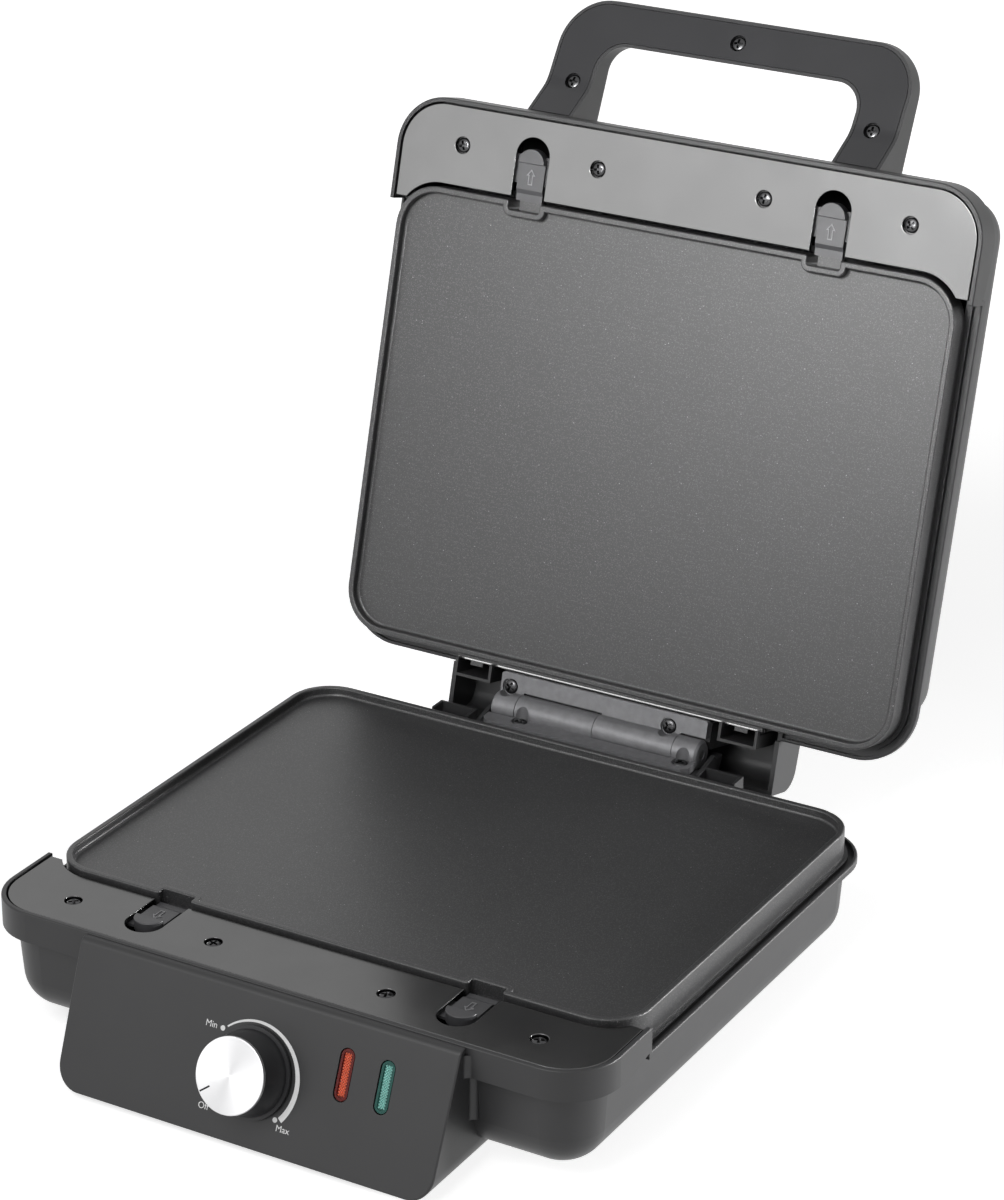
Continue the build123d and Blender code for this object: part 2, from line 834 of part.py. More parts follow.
def shroud():
    """Open-bottomed cover behind the lid that hides the hinge when the lid is shut."""
    profile = (
        (dome_back, -flange_top),
        (rim_back, -flange_top),
        (rim_back, shroud_lip_z),
        (shroud_back, shroud_lip_z),
        (shroud_back, shroud_top_back),
        (dome_back - shell_wall, shroud_top_front),
    )
    wall = shell_wall
    hollow = (
        (dome_back - wall, 0),
        (shroud_back - wall, 0),
        (shroud_back - wall, shroud_top_back - wall),
        (dome_back - wall, shroud_top_front - wall),
    )
    outer = side_solid(profile, shroud_half, 4, shroud_edge)
    return outer - side_solid(hollow, shroud_half - wall, 2, shroud_edge - wall)


def upper_hinge_seat():
    """Ribbed pad inside the shroud that carries the upper leaf."""
    low = -seat_top
    high = shroud_top_back - shell_wall / 2
    pad = block(-upper_seat_half, upper_seat_half, seat_front, upper_seat_back, low, low + seat_plate)
    over_tray = -flange_top + slide_gap
    for x in [side * spot for side in (-1, 1) for spot in upper_rib_x]:
        half = rib_thick / 2
        pad += block(x - half, x + half, seat_front, upper_seat_back, low, high)
        pad += block(x - half, x + half, dome_back, seat_front, over_tray, high)
    for x in upper_screw_x:
        pad += post(x, leaf_screw_y, boss_radius, low, high)
        pad -= post(x, leaf_screw_y, screw_shank_radius, low, low + screw_length)
    return pad - Rot(0, 90, 0) * Cylinder(trough_radius, 2 * seat_half)


# Handle: a loop in plan crossed with a wedge in side view
def handle_loop(inset):
    """Plan of the handle loop, with both its outer edge and its opening moved inwards by inset."""
    half = handle_half - inset
    front = handle_front + inset
    outer = Pos(0, (front + handle_root_y) / 2) * Rectangle(2 * half, handle_root_y - front)
    outer = fillet(outer.vertices().group_by(Axis.Y)[0], handle_corner - inset)
    half = handle_opening_half + inset
    front = handle_front + handle_bar - inset
    hole = Pos(0, (front + handle_root_y) / 2) * Rectangle(2 * half, handle_root_y - front)
    hole = fillet(hole.vertices().group_by(Axis.Y)[0], handle_opening_corner + inset)
    return outer - hole


def handle_wedge(sink, wall):
    """Side form of the handle with its cover side moved inwards by sink and its back by wall."""
    move_y = sink * sin(radians(handle_tilt))
    move_z = sink * cos(radians(handle_tilt))
    root = handle_root_y
    tip = handle_front + wall
    points = (
        (root + move_y, handle_foot_z + move_z),
        (handle_knee_y + move_y, handle_knee_z + move_z),
        (tip, handle_tip_z + move_z + (handle_front + move_y - tip) * handle_slope),
        (tip, handle_tip_back_z - wall),
        (root + move_y, handle_root_back_z - wall),
    )
    return side_solid(points, handle_half, 1, handle_knee_radius)


def handle_back():
    """Back shell of the handle, hollow, with a lip round its cover and three screw pillars."""
    shell = slab(handle_loop(0), 0, 2 * through) & handle_wedge(0, 0)
    back_edges = [e for e in shell.edges() if on_back(e)]
    shell = fillet(back_edges, handle_edge)
    cover_seat = handle_wedge(0, 0) - handle_wedge(cover_thick, 0)
    shell -= slab(handle_loop(handle_lip), 0, 2 * through) & cover_seat
    hollow = slab(handle_loop(handle_wall), 0, 2 * through) & handle_wedge(cover_thick, handle_wall)
    shell -= hollow
    for spot in handle_screw_spots:
        frame = handle_screw_frame(spot, cover_thick)
        pillar = frame * (Pos(0, 0, -through / 2) * Cylinder(boss_radius, through))
        shell += pillar & hollow
        shell -= frame * (Pos(0, 0, -screw_length / 2) * Cylinder(screw_shank_radius, screw_length))
    return shell


def on_back(edge):
    """True for the handle edges that run in its back face."""
    spots = [edge @ share for share in (0, 0.5, 1)]
    rises = [handle_tip_back_z + (handle_front - spot.Y) * handle_back_slope - spot.Z for spot in spots]
    in_face = all(abs(rise) < flat_tolerance for rise in rises)
    return in_face and edge.center().Y < handle_root_y - flat_tolerance


def handle_screw_frame(spot, depth):
    """Place of a handle screw, its z axis out of the cover, depth below the cover's surface."""
    x, y = spot
    z = handle_knee_z + (handle_knee_y - y) * handle_slope
    outwards = Vector(0, -sin(radians(handle_tilt)), -cos(radians(handle_tilt)))
    spot_on_cover = Vector(x, y, z) - outwards * depth
    return Plane(origin=spot_on_cover, x_dir=(1, 0, 0), z_dir=outwards)


def handle_cover():
    """Inlaid cover on the underside of the handle, bored for its three screws."""
    strip = handle_wedge(0, 0) - handle_wedge(cover_thick, 0)
    cover = slab(handle_loop(handle_lip + cover_gap), 0, 2 * through) & strip
    cover -= block(-handle_half, handle_half, rim_front - cover_gap, handle_root_y + through, 0, 2 * through)
    for spot in handle_screw_spots:
        frame = handle_screw_frame(spot, cover_bore_depth)
        cover -= frame * (Pos(0, 0, through / 2) * Cylinder(cover_bore_radius, through))
        cover -= frame * Cylinder(screw_shank_radius, 4 * cover_thick)
    return cover


def handle_screws():
    """The three screws of the handle cover."""
    return Compound([handle_screw_frame(spot, cover_bore_depth) * screw() for spot in handle_screw_spots])


# Control box, drawn with a plane lying on its sloping front panel
panel = Plane(
    origin=(0, panel_top_y, panel_top_z),
    x_dir=(1, 0, 0),
    z_dir=(0, -cos(panel_rad), sin(panel_rad)),
)


def box_form(inset):
    """Solid form of the control box with all its outer faces moved inwards by inset."""
    shift = inset / cos(panel_rad)
    top_y = panel_top_y + shift
    top_z = panel_top_z - inset
    low = box_bottom + inset
    back = box_back - inset
    lean = tan(panel_rad)
    profile = (
        (tub_front + shell_wall, top_z),
        (top_y - inset * lean, top_z),
        (top_y - (panel_top_z - low) * lean, low),
        (back, low),
        (back, tub_bottom + shell_wall),
        (tub_front + tub_edge, tub_bottom + shell_wall),
        (tub_front + shell_wall, tub_bottom + tub_edge),
    )
    front = Plane.XZ * make_face(Polyline(
        (-box_top_half + inset, panel_top_z),
        (box_top_half - inset, panel_top_z),
        (box_bottom_half - inset, low),
        (-box_bottom_half + inset, low),
        close=True,
    ))
    front = fillet(front.vertices().group_by(Axis.Z)[0], box_corner - inset)
    across = Pos(0, box_back, 0) * extrude(front, 2 * through)
    return side_solid(profile, box_top_half) & across


def control_box(outside):
    """Front control box: sloping panel, open to the tub behind, holes for the shaft and lenses."""
    form = box_form(0)
    face = form.faces().sort_by_distance(panel.from_local_coords(Vector(0, -knob_drop, 0)))[0]
    around = face.edges().sort_by(Axis.Z)
    form = fillet(around[-1], box_edge)
    face = form.faces().sort_by_distance(panel.from_local_coords(Vector(0, -knob_drop, 0)))[0]
    form = fillet(face.edges().sort_by(Axis.Z)[:-1], box_side_edge)
    shell = form + box_coves() - box_form(box_wall) - outside
    shell = shell.solids().sort_by(SortBy.VOLUME)[-1]
    shell -= panel * (Pos(0, -knob_drop, 0) * Cylinder(shaft_hole_radius, 4 * box_wall))
    for x in lens_x:
        shell -= panel * (Pos(x, -lens_drop, 0) * lens_bar(lens_border, -2 * box_wall, box_wall))
    return shell


def box_side_x(z):
    """How far the box's side stands out at a height."""
    return box_top_half - box_taper * (panel_top_z - z) / (panel_top_z - box_bottom)


def box_coves():
    """Concave strips that round the corners between the box's sides and the band and tub behind them."""
    spans = ((rim_front, flange_bottom, panel_top_z - box_edge), (tub_front, box_cove_low, flange_bottom))
    reach = box_wall + cove_radius
    coves = Part()
    for face_y, low, high in spans:
        cove = block(0, reach, -cove_radius, shell_wall, low, high)
        cove -= post(reach, -cove_radius, cove_radius, low, high)
        cove = Pos(box_side_x((low + high) / 2) - box_wall, face_y, 0) * cove
        coves += cove + mirror(cove, about=Plane.YZ)
    return coves


def lens_bar(grow, low, high):
    """A round-ended upright bar, grown all round by grow, between two heights over the panel."""
    shape = SlotOverall(lens_length + 2 * grow, lens_width + 2 * grow, rotation=90)
    return slab(shape, low, high)


def lens(x):
    """Indicator lens sunk in its slot: a smooth rim round a lower strip, and a flange behind the panel."""
    bar = lens_bar(0, -box_wall - lens_flange_thick, -lens_sink)
    flange = lens_bar(lens_flange, -box_wall - lens_flange_thick, -box_wall)
    strip = lens_bar(-lens_rim, -lens_sink - lens_strip_sink, -lens_sink)
    return panel * (Pos(x, -lens_drop, 0) * (bar + flange - strip))


def indicator_lamps():
    """The two lamps behind the lenses."""
    depth = box_wall + lens_flange_thick + lamp_length / 2
    lamps = [panel * (Pos(x, -lens_drop, -depth) * Cylinder(lamp_radius, lamp_length)) for x in lens_x]
    return Compound(lamps)


def thermostat():
    """Thermostat behind the panel, bored for the knob shaft."""
    half = thermostat_half
    body = block(-half, half, -half, half, -box_wall - thermostat_depth, -box_wall)
    body -= Pos(0, 0, -box_wall - shaft_depth / 2) * Cylinder(shaft_radius + shaft_fit, shaft_depth)
    return panel * (Pos(0, -knob_drop, 0) * body)


def knob_skirt():
    """Black knob body: tapered above a wider foot, hollow underneath, with a core on the shaft."""
    high = knob_height - knob_cap_thick
    body = Pos(0, 0, (knob_lift + high) / 2) * Cone(knob_skirt_radius, knob_cap_radius, high - knob_lift)
    body += post(0, 0, knob_skirt_radius + knob_foot_reach, knob_lift, knob_lift + knob_foot_thick)
    inside = post(0, 0, knob_cap_radius - knob_wall, knob_lift, high - knob_wall)
    inside -= post(0, 0, knob_core_radius, knob_lift, high - knob_wall)
    body = body - inside - post(0, 0, shaft_radius, knob_lift, high - knob_wall)
    return panel * (Pos(0, -knob_drop, 0) * body)


def knob_cap():
    """Spun metal cap on the knob."""
    cap = post(0, 0, knob_cap_radius, knob_height - knob_cap_thick, knob_height)
    cap = fillet(cap.edges().group_by(Axis.Z)[-1], knob_cap_round)
    return panel * (Pos(0, -knob_drop, 0) * cap)


def knob_shaft():
    """Shaft from the thermostat into the knob's core."""
    high = knob_height - knob_cap_thick - knob_wall
    shaft = post(0, 0, shaft_radius, -box_wall - shaft_depth + slide_gap, high)
    return panel * (Pos(0, -knob_drop, 0) * shaft)


# Feet and cord gland
def foot_pads(spot):
    """A left and right rubber pad, on the resting floor."""
    x, y = spot
    pads = [post(side * x, y, pad_radius, floor_z, floor_z + pad_height) for side in (-1, 1)]
    return Compound([chamfer(pad.edges().group_by(Axis.Z)[0], pad_round) for pad in pads])


def cord_gland():
    """Rubber sleeve at the back wall where the mains cord would enter."""
    wall_y = tub_back - shell_wall
    sleeve = Pos(0, 0, gland_length / 2) * Cone(gland_radius, gland_bore + gland_tip_wall, gland_length)
    collar = Pos(0, 0, shell_wall + gland_collar_thick / 2) * Cylinder(gland_collar, gland_collar_thick)
    gland = sleeve + collar - Pos(0, 0, gland_length / 2) * Cylinder(gland_bore, 2 * gland_length)
    return Pos(gland_x, wall_y, gland_z) * Rot(-90, 0, 0) * gland


# Build every node in its place
def save(name, part):
    """Write one named node."""
    export_step(part, f"parts/{name}.step")


def main():
    """Build and write all nodes."""
    housing, outside = base_housing()
    upper_spans, lower_spans = hinge_spans()
    save("base_housing", on_base(housing))
    save("control_box", on_base(control_box(outside)))
    save("base_deck", on_base(deck()))
    save("base_deck_screws", on_base(deck_screws()))
    save("lower_plate", on_base(cooking_plate()))
    save("lower_reflector", on_base(reflector_tray()))
    save("lower_heating_element", on_base(heating_element()))
    save("lower_latch_left", on_base(latch(-1)))
    save("lower_latch_right", on_base(latch(1)))
    save("hinge_lower_leaf", on_base(hinge_leaf(lower_spans, lower_screw_x, pin_radius, lower_leaf_corner)))
    save("hinge_lower_screws", on_base(leaf_screws(lower_screw_x)))
    save("hinge_pin", on_base(hinge_pin()))
    save("red_lens", on_base(lens(lens_x[0])))
    save("green_lens", on_base(lens(lens_x[1])))
    save("indicator_lamps", on_base(indicator_lamps()))
    save("thermostat", on_base(thermostat()))
    save("knob_skirt", on_base(knob_skirt()))
    save("knob_cap", on_base(knob_cap()))
    save("knob_shaft", on_base(knob_shaft()))
    save("front_feet", on_base(foot_pads(front_pad_spot)))
    save("rear_feet", on_base(foot_pads(rear_pad_spot)))
    save("cord_gland", on_base(cord_gland()))
    save("lid_housing", on_lid(lid_housing()))
    save("lid_deck", on_lid(flipped(deck())))
    save("lid_deck_screws", on_lid(flipped(deck_screws())))
    save("upper_plate", on_lid(flipped(cooking_plate())))
    save("upper_reflector", on_lid(flipped(reflector_tray())))
    save("upper_heating_element", on_lid(flipped(heating_element())))
    save("upper_latch_left", on_lid(flipped(latch(-1))))
    save("upper_latch_right", on_lid(flipped(latch(1))))
    bore = pin_radius + pin_fit
    upper_leaf = hinge_leaf(upper_spans, upper_screw_x, bore, upper_leaf_corner)
    save("hinge_upper_leaf", on_lid(flipped(upper_leaf)))
    save("hinge_upper_screws", on_lid(flipped(leaf_screws(upper_screw_x))))
    save("handle_cover", on_lid(handle_cover()))
    save("handle_screws", on_lid(handle_screws()))


main()
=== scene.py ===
"""Three-in-one sandwich maker: finishes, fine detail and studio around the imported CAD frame."""
import json
import logging
import math
from dataclasses import dataclass
from enum import Enum
from typing import Optional

import bmesh
import bpy
from mathutils import Matrix, Vector


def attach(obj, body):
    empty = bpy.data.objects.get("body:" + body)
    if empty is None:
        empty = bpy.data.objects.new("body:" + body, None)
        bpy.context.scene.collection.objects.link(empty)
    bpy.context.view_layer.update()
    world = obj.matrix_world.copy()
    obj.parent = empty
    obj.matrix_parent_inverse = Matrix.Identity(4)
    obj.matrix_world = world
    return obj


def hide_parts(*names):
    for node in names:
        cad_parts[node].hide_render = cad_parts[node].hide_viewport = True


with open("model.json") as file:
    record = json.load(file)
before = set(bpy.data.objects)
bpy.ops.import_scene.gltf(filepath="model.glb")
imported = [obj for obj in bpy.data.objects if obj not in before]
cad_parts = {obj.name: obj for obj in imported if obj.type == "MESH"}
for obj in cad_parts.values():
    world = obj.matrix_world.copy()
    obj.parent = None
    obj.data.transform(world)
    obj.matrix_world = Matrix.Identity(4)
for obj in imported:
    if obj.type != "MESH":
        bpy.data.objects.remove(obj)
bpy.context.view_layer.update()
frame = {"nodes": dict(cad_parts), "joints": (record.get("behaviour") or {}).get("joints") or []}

LOG = logging.getLogger("sandwich_maker")
MM = 0.001
MERGE_MM = 0.01
SHARP_ANGLE = 35.0
WHITE = (1.0, 1.0, 1.0, 1.0)

# Octaves of the noise behind each kind of pattern, and the part of its range that a mottle uses
MOTTLE_DETAIL = 3.0
GRAIN_DETAIL = 2.0
SMUDGE_DETAIL = 4.0
RING_DETAIL = 1.0
MOTTLE_BAND = (0.3, 0.7)

# Kind and setting of each arithmetic node
PRODUCT = ("ShaderNodeMath", {"operation": "MULTIPLY"})
DIFFERENCE = ("ShaderNodeMath", {"operation": "SUBTRACT"})
LARGER = ("ShaderNodeMath", {"operation": "MAXIMUM"})
BELOW = ("ShaderNodeMath", {"operation": "LESS_THAN"})
WITHOUT_SIGN = ("ShaderNodeMath", {"operation": "ABSOLUTE"})
FROM_POINT = ("ShaderNodeVectorMath", {"operation": "SUBTRACT"})
CROSS = ("ShaderNodeVectorMath", {"operation": "CROSS_PRODUCT"})
LENGTH = ("ShaderNodeVectorMath", {"operation": "LENGTH"})

Piece = bpy.types.Object
Tree = bpy.types.NodeTree
Socket = bpy.types.NodeSocket
Point = tuple[float, float, float]
Loop = list[Point]
Outline = list[tuple[float, float]]


# Small helpers
def linear(hex_colour: str) -> tuple[float, float, float, float]:
    """Turn an sRGB hex colour into the linear colour that shaders use.

    Args:
        hex_colour: Colour such as "#3d3d3f".

    Returns:
        Linear red, green, blue and an alpha of 1.
    """
    channels = [int(hex_colour[i:i + 2], 16) / 255 for i in (1, 3, 5)]
    values = [c / 12.92 if c <= 0.04045 else ((c + 0.055) / 1.055) ** 2.4 for c in channels]
    return (*values, 1.0)


def add_node(
    tree: Tree, kind: str, settings: Optional[dict] = None, inputs: Optional[dict] = None
) -> bpy.types.Node:
    """Add one node with its settings, constants and links.

    Args:
        tree: Node tree that receives the node.
        kind: Blender's node type name.
        settings: Properties set on the node itself.
        inputs: Input name or number to a constant, or to the socket that feeds it.

    Returns:
        The new node.
    """
    node = tree.nodes.new(kind)
    for key, value in (settings or {}).items():
        setattr(node, key, value)
    for key, value in (inputs or {}).items():
        if isinstance(value, Socket):
            tree.links.new(value, node.inputs[key])
        else:
            node.inputs[key].default_value = value
    return node


def scene_object(name: str, data: bpy.types.ID) -> Piece:
    """Link a mesh, text, lamp or camera to the scene as an object at the origin.

    Args:
        name: Name of the object.
        data: What it shows.

    Returns:
        The object.
    """
    piece = bpy.data.objects.new(name, data)
    bpy.context.scene.collection.objects.link(piece)
    return piece


def from_bmesh(name: str, shape: bmesh.types.BMesh) -> Piece:
    """Turn a bmesh into an object and free it.

    Args:
        name: Name of the object.
        shape: The bmesh.

    Returns:
        The object.
    """
    mesh = bpy.data.meshes.new(name)
    shape.to_mesh(mesh)
    shape.free()
    return scene_object(name, mesh)


def loft(name: str, sections: list[Loop], closed: bool = False) -> Piece:
    """Join closed cross-sections of equal point count into one solid.

    Args:
        name: Name of the result.
        sections: Cross-sections in order, in millimetres.
        closed: True joins the last section to the first, False caps both ends.

    Returns:
        The solid, still in millimetres.
    """
    shape = bmesh.new()
    rings = [[shape.verts.new(point) for point in section] for section in sections]
    pairs = list(zip(rings, rings[1:]))
    if closed:
        pairs.append((rings[-1], rings[0]))
    else:
        shape.faces.new(rings[0])
        shape.faces.new(rings[-1])
    for near, far in pairs:
        for i in range(len(near)):
            following = (i + 1) % len(near)
            shape.faces.new((near[i], near[following], far[following], far[i]))
    bmesh.ops.recalc_face_normals(shape, faces=shape.faces)
    return from_bmesh(name, shape)


def lathe(name: str, profile: Outline, segments: int) -> Piece:
    """Turn a profile round the z axis; it starts and ends on the axis.

    Args:
        name: Name of the result.
        profile: Radius and height of each point, in millimetres.
        segments: Number of steps round the axis.

    Returns:
        The closed solid, still in millimetres.
    """
    shape = bmesh.new()
    rings = []
    for radius, height in profile[1:-1]:
        turns = [2 * math.pi * i / segments for i in range(segments)]
        rings.append([shape.verts.new((radius * math.cos(a), radius * math.sin(a), height)) for a in turns])
    poles = [shape.verts.new((0, 0, profile[0][1])), shape.verts.new((0, 0, profile[-1][1]))]
    for i in range(segments):
        following = (i + 1) % segments
        shape.faces.new((poles[0], rings[0][i], rings[0][following]))
        shape.faces.new((poles[1], rings[-1][following], rings[-1][i]))
        for near, far in zip(rings, rings[1:]):
            shape.faces.new((near[i], near[following], far[following], far[i]))
    bmesh.ops.recalc_face_normals(shape, faces=shape.faces)
    return from_bmesh(name, shape)


def baked(piece: Piece, name: str, matrix: Matrix = Matrix.Identity(4)) -> Piece:
    """Turn an object with live modifiers, or text, into a plain mesh piece.

    Args:
        piece: Object to evaluate; it is removed afterwards.
        name: Name of the result.
        matrix: Place given to the finished mesh.

    Returns:
        A mesh object at the origin without modifiers.
    """
    graph = bpy.context.evaluated_depsgraph_get()
    mesh = bpy.data.meshes.new_from_object(piece.evaluated_get(graph), depsgraph=graph)
    mesh.transform(matrix)
    mesh.name = name
    bpy.data.objects.remove(piece)
    return scene_object(name, mesh)


def joined(pieces: list[Piece], name: str) -> Piece:
    """Put several plain meshes into one object and remove the old ones.

    Args:
        pieces: The old objects.
        name: Name of the result.

    Returns:
        The new object.
    """
    whole = bmesh.new()
    for piece in pieces:
        whole.from_mesh(piece.data)
        bpy.data.objects.remove(piece)
    return from_bmesh(name, whole)


def grown(name: str, tree: Tree, points: Loop, inputs: dict, matrix: Matrix) -> Piece:
    """Run a Geometry Nodes tree on a set of points and keep its plain result.

    Args:
        name: Name of the result.
        tree: The tree to run.
        points: Points that the tree receives, in millimetres.
        inputs: Values of the tree's named inputs.
        matrix: Place given to the finished mesh.

    Returns:
        A mesh object at the origin without modifiers.
    """
    mesh = bpy.data.meshes.new(name)
    mesh.from_pydata(points, [], [])
    piece = scene_object(name, mesh)
    modifier = piece.modifiers.new(name, "NODES")
    modifier.node_group = tree
    for item in tree.interface.items_tree:
        if item.in_out == "INPUT" and item.name in inputs:
            modifier[item.identifier] = inputs[item.name]
    return baked(piece, name, matrix)


def new_tree(name: str, inputs: dict[str, str]) -> Tree:
    """Start a Geometry Nodes tree with a geometry input and output and named inputs.

    Args:
        name: Name of the tree.
        inputs: Name of each input and its socket type.

    Returns:
        The tree, without nodes.
    """
    tree = bpy.data.node_groups.new(name, "GeometryNodeTree")
    tree.interface.new_socket("Points", in_out="INPUT", socket_type="NodeSocketGeometry")
    for label, kind in inputs.items():
        tree.interface.new_socket(label, in_out="INPUT", socket_type=kind)
    tree.interface.new_socket("Geometry", in_out="OUTPUT", socket_type="NodeSocketGeometry")
    return tree


def end_tree(tree: Tree, instances: Socket, material: Socket) -> None:
    """End a tree with real geometry and its material.

    Args:
        tree: The tree.
        instances: What it has made so far.
        material: The tree's material input.
    """
    real = add_node(tree, "GeometryNodeRealizeInstances", inputs={"Geometry": instances})
    inputs = {"Geometry": real.outputs["Geometry"], "Material": material}
    dressed = add_node(tree, "GeometryNodeSetMaterial", inputs=inputs)
    add_node(tree, "NodeGroupOutput", inputs={"Geometry": dressed.outputs["Geometry"]})


def shade_smooth(piece: Piece) -> None:
    """Shade a mesh smoothly except across its sharp edges."""
    piece.data.polygons.foreach_set("use_smooth", [True] * len(piece.data.polygons))
    piece.data.set_sharp_from_angle(angle=math.radians(SHARP_ANGLE))


# Places on the object
@dataclass(frozen=True)
class Place:
    """A local frame on the object: x and y lie on a surface, z points out of it."""

    origin: Vector
    x: Vector
    y: Vector

    @property
    def z(self) -> Vector:
        """Outward direction."""
        return self.x.cross(self.y)

    def matrix(self) -> Matrix:
        """Matrix from this frame's millimetres to the row frame's metres."""
        turn = Matrix((self.x, self.y, self.z)).transposed().to_4x4()
        return Matrix.Translation(self.origin) @ turn @ Matrix.Scale(MM, 4)

    def point(self, x: float, y: float, z: float = 0.0) -> Vector:
        """Row-frame point of millimetres given in this frame."""
        return self.matrix() @ Vector((x, y, z))

    def turned(self, degrees: float) -> "Place":
        """This frame turned about its own x axis."""
        y = Matrix.Rotation(math.radians(degrees), 3, self.x) @ self.y
        return Place(self.origin, self.x, y)


def joint(name: str) -> dict:
    """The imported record's joint of that name."""
    return next(j for j in frame["joints"] if j["name"] == name)


def hinge_place() -> Place:
    """Frame of the base's parting plane: origin on the hinge axis, y backwards, z up."""
    return Place(Vector(joint("lid_hinge")["pos_m"]), Vector((1, 0, 0)), Vector((0, 1, 0)))


def lid_place() -> Place:
    """Frame of the lid's parting plane at rest: y towards the hinge, z out of the lid."""
    away = Vector(joint("upper_latch_left_slide")["axis"])
    return Place(Vector(joint("lid_hinge")["pos_m"]), Vector((-1, 0, 0)), -away)


def panel_place() -> Place:
    """Frame on the sloping front panel, its origin on the knob's axis."""
    inward, x = Vector(joint("knob_turn")["axis"]), Vector((1, 0, 0))
    return Place(Vector(joint("knob_turn")["pos_m"]), x, (-inward).cross(x))


def corners(points: list[Vector]) -> tuple[Vector, Vector]:
    """Lowest and highest corner of some points."""
    return tuple(Vector([pick(p[i] for p in points) for i in range(3)]) for pick in (min, max))


def extent(node: str, place: Place) -> tuple[Vector, Vector]:
    """Lowest and highest corner of a CAD node in a place's millimetres."""
    into = place.matrix().inverted()
    return corners([into @ vertex.co for vertex in frame["nodes"][node].data.vertices])


def loose_parts(node: str, place: Place) -> list[tuple[Vector, Vector]]:
    """Corners of each separate solid of a CAD node.

    Args:
        node: Name of the node.
        place: Frame whose millimetres the corners are given in.

    Returns:
        Lowest and highest corner of each solid, from left to right.
    """
    into = place.matrix().inverted()
    shape = bmesh.new()
    shape.from_mesh(frame["nodes"][node].data)
    bmesh.ops.remove_doubles(shape, verts=shape.verts, dist=MERGE_MM * MM)
    waiting = set(shape.verts)
    parts = []
    while waiting:
        reached = [waiting.pop()]
        points = []
        while reached:
            vertex = reached.pop()
            points.append(into @ vertex.co)
            near = [edge.other_vert(vertex) for edge in vertex.link_edges]
            fresh = [other for other in near if other in waiting]
            waiting.difference_update(fresh)
            reached.extend(fresh)
        parts.append(corners(points))
    shape.free()
    return sorted(parts, key=lambda part: (round(part[0].x, 2), round(part[0].y, 2)))


# Finishes
@dataclass(frozen=True)
class Surface:
    """A material in the making: its node tree, its shader and the object coordinates."""

    tree: Tree
    shader: bpy.types.Node
    place: Socket


@dataclass(frozen=True)
class Finish:
    """A surface finish: base colour, gloss and a pattern on object coordinates."""

    name: str
    colour: str
    roughness: float = 0.5
    metallic: float = 0.0
    mottle: float = 0.05
    mottle_mm: float = 4.0
    grain_mm: float = 0.5
    depth_mm: float = 0.0
    specular: float = 0.5
    smudge: float = 0.0
    smudge_mm: float = 22.0

    def build(self) -> bpy.types.Material:
        """Make the node material of this finish.

        Returns:
            The material, made once and then reused by name.
        """
        known = bpy.data.materials.get(self.name)
        if known:
            return known
        material = bpy.data.materials.new(self.name)
        material.use_nodes = True
        tree = material.node_tree
        shader = tree.nodes["Principled BSDF"]
        shader.inputs["Roughness"].default_value = self.roughness
        shader.inputs["Metallic"].default_value = self.metallic
        if not self.metallic:
            shader.inputs["Specular IOR Level"].default_value = self.specular
        shader.inputs["Base Color"].default_value = linear(self.colour)
        surface = Surface(tree, shader, add_node(tree, "ShaderNodeTexCoord").outputs["Object"])
        if self.mottle:
            tree.links.new(self.colour_of(surface), shader.inputs["Base Color"])
        self.relief(surface)
        self.wear(surface)
        self.extras(surface)
        return material

    def colour_of(self, surface: Surface) -> Socket:
        """Base colour with a slow, faint mottle.

        Args:
            surface: The material in the making.

        Returns:
            Socket that carries the colour.
        """
        noise = add_node(
            surface.tree, "ShaderNodeTexNoise",
            inputs={"Scale": 1 / (self.mottle_mm * MM), "Detail": MOTTLE_DETAIL, "Vector": surface.place},
        )
        ramp = add_node(surface.tree, "ShaderNodeValToRGB", inputs={"Fac": noise.outputs["Fac"]})
        stops = zip(ramp.color_ramp.elements, MOTTLE_BAND, (1 - self.mottle, 1 + self.mottle))
        for stop, position, share in stops:
            stop.position = position
            stop.color = (*[min(1.0, c * share) for c in linear(self.colour)[:3]], 1.0)
        return ramp.outputs["Color"]

    def relief(self, surface: Surface) -> None:
        """Add the fine surface grain as bump, where the finish has one.

        Args:
            surface: The material in the making.
        """
        if not self.depth_mm:
            return
        noise = add_node(
            surface.tree, "ShaderNodeTexNoise",
            inputs={"Scale": 1 / (self.grain_mm * MM), "Detail": GRAIN_DETAIL, "Vector": surface.place},
        )
        self.emboss(surface, noise.outputs["Fac"])

    def emboss(self, surface: Surface, height: Socket) -> None:
        """Raise and lower the surface by the finish's depth.

        Args:
            surface: The material in the making.
            height: Height between 0 and 1.
        """
        inputs = {"Strength": 1.0, "Distance": self.depth_mm * MM, "Height": height}
        bump = add_node(surface.tree, "ShaderNodeBump", inputs=inputs)
        surface.tree.links.new(bump.outputs["Normal"], surface.shader.inputs["Normal"])

    def wear(self, surface: Surface) -> None:
        """Vary the gloss in soft patches, as handling does.

        Args:
            surface: The material in the making.
        """
        if not self.smudge:
            return
        noise = add_node(
            surface.tree, "ShaderNodeTexNoise",
            inputs={"Scale": 1 / (self.smudge_mm * MM), "Detail": SMUDGE_DETAIL, "Vector": surface.place},
        )
        low, high = self.roughness - self.smudge, self.roughness + self.smudge
        inputs = {"To Min": low, "To Max": high, "Value": noise.outputs["Fac"]}
        spread = add_node(surface.tree, "ShaderNodeMapRange", inputs=inputs)
        surface.tree.links.new(spread.outputs["Result"], surface.shader.inputs["Roughness"])

    def extras(self, surface: Surface) -> None:
        """Hook for what one finish has beyond the others."""


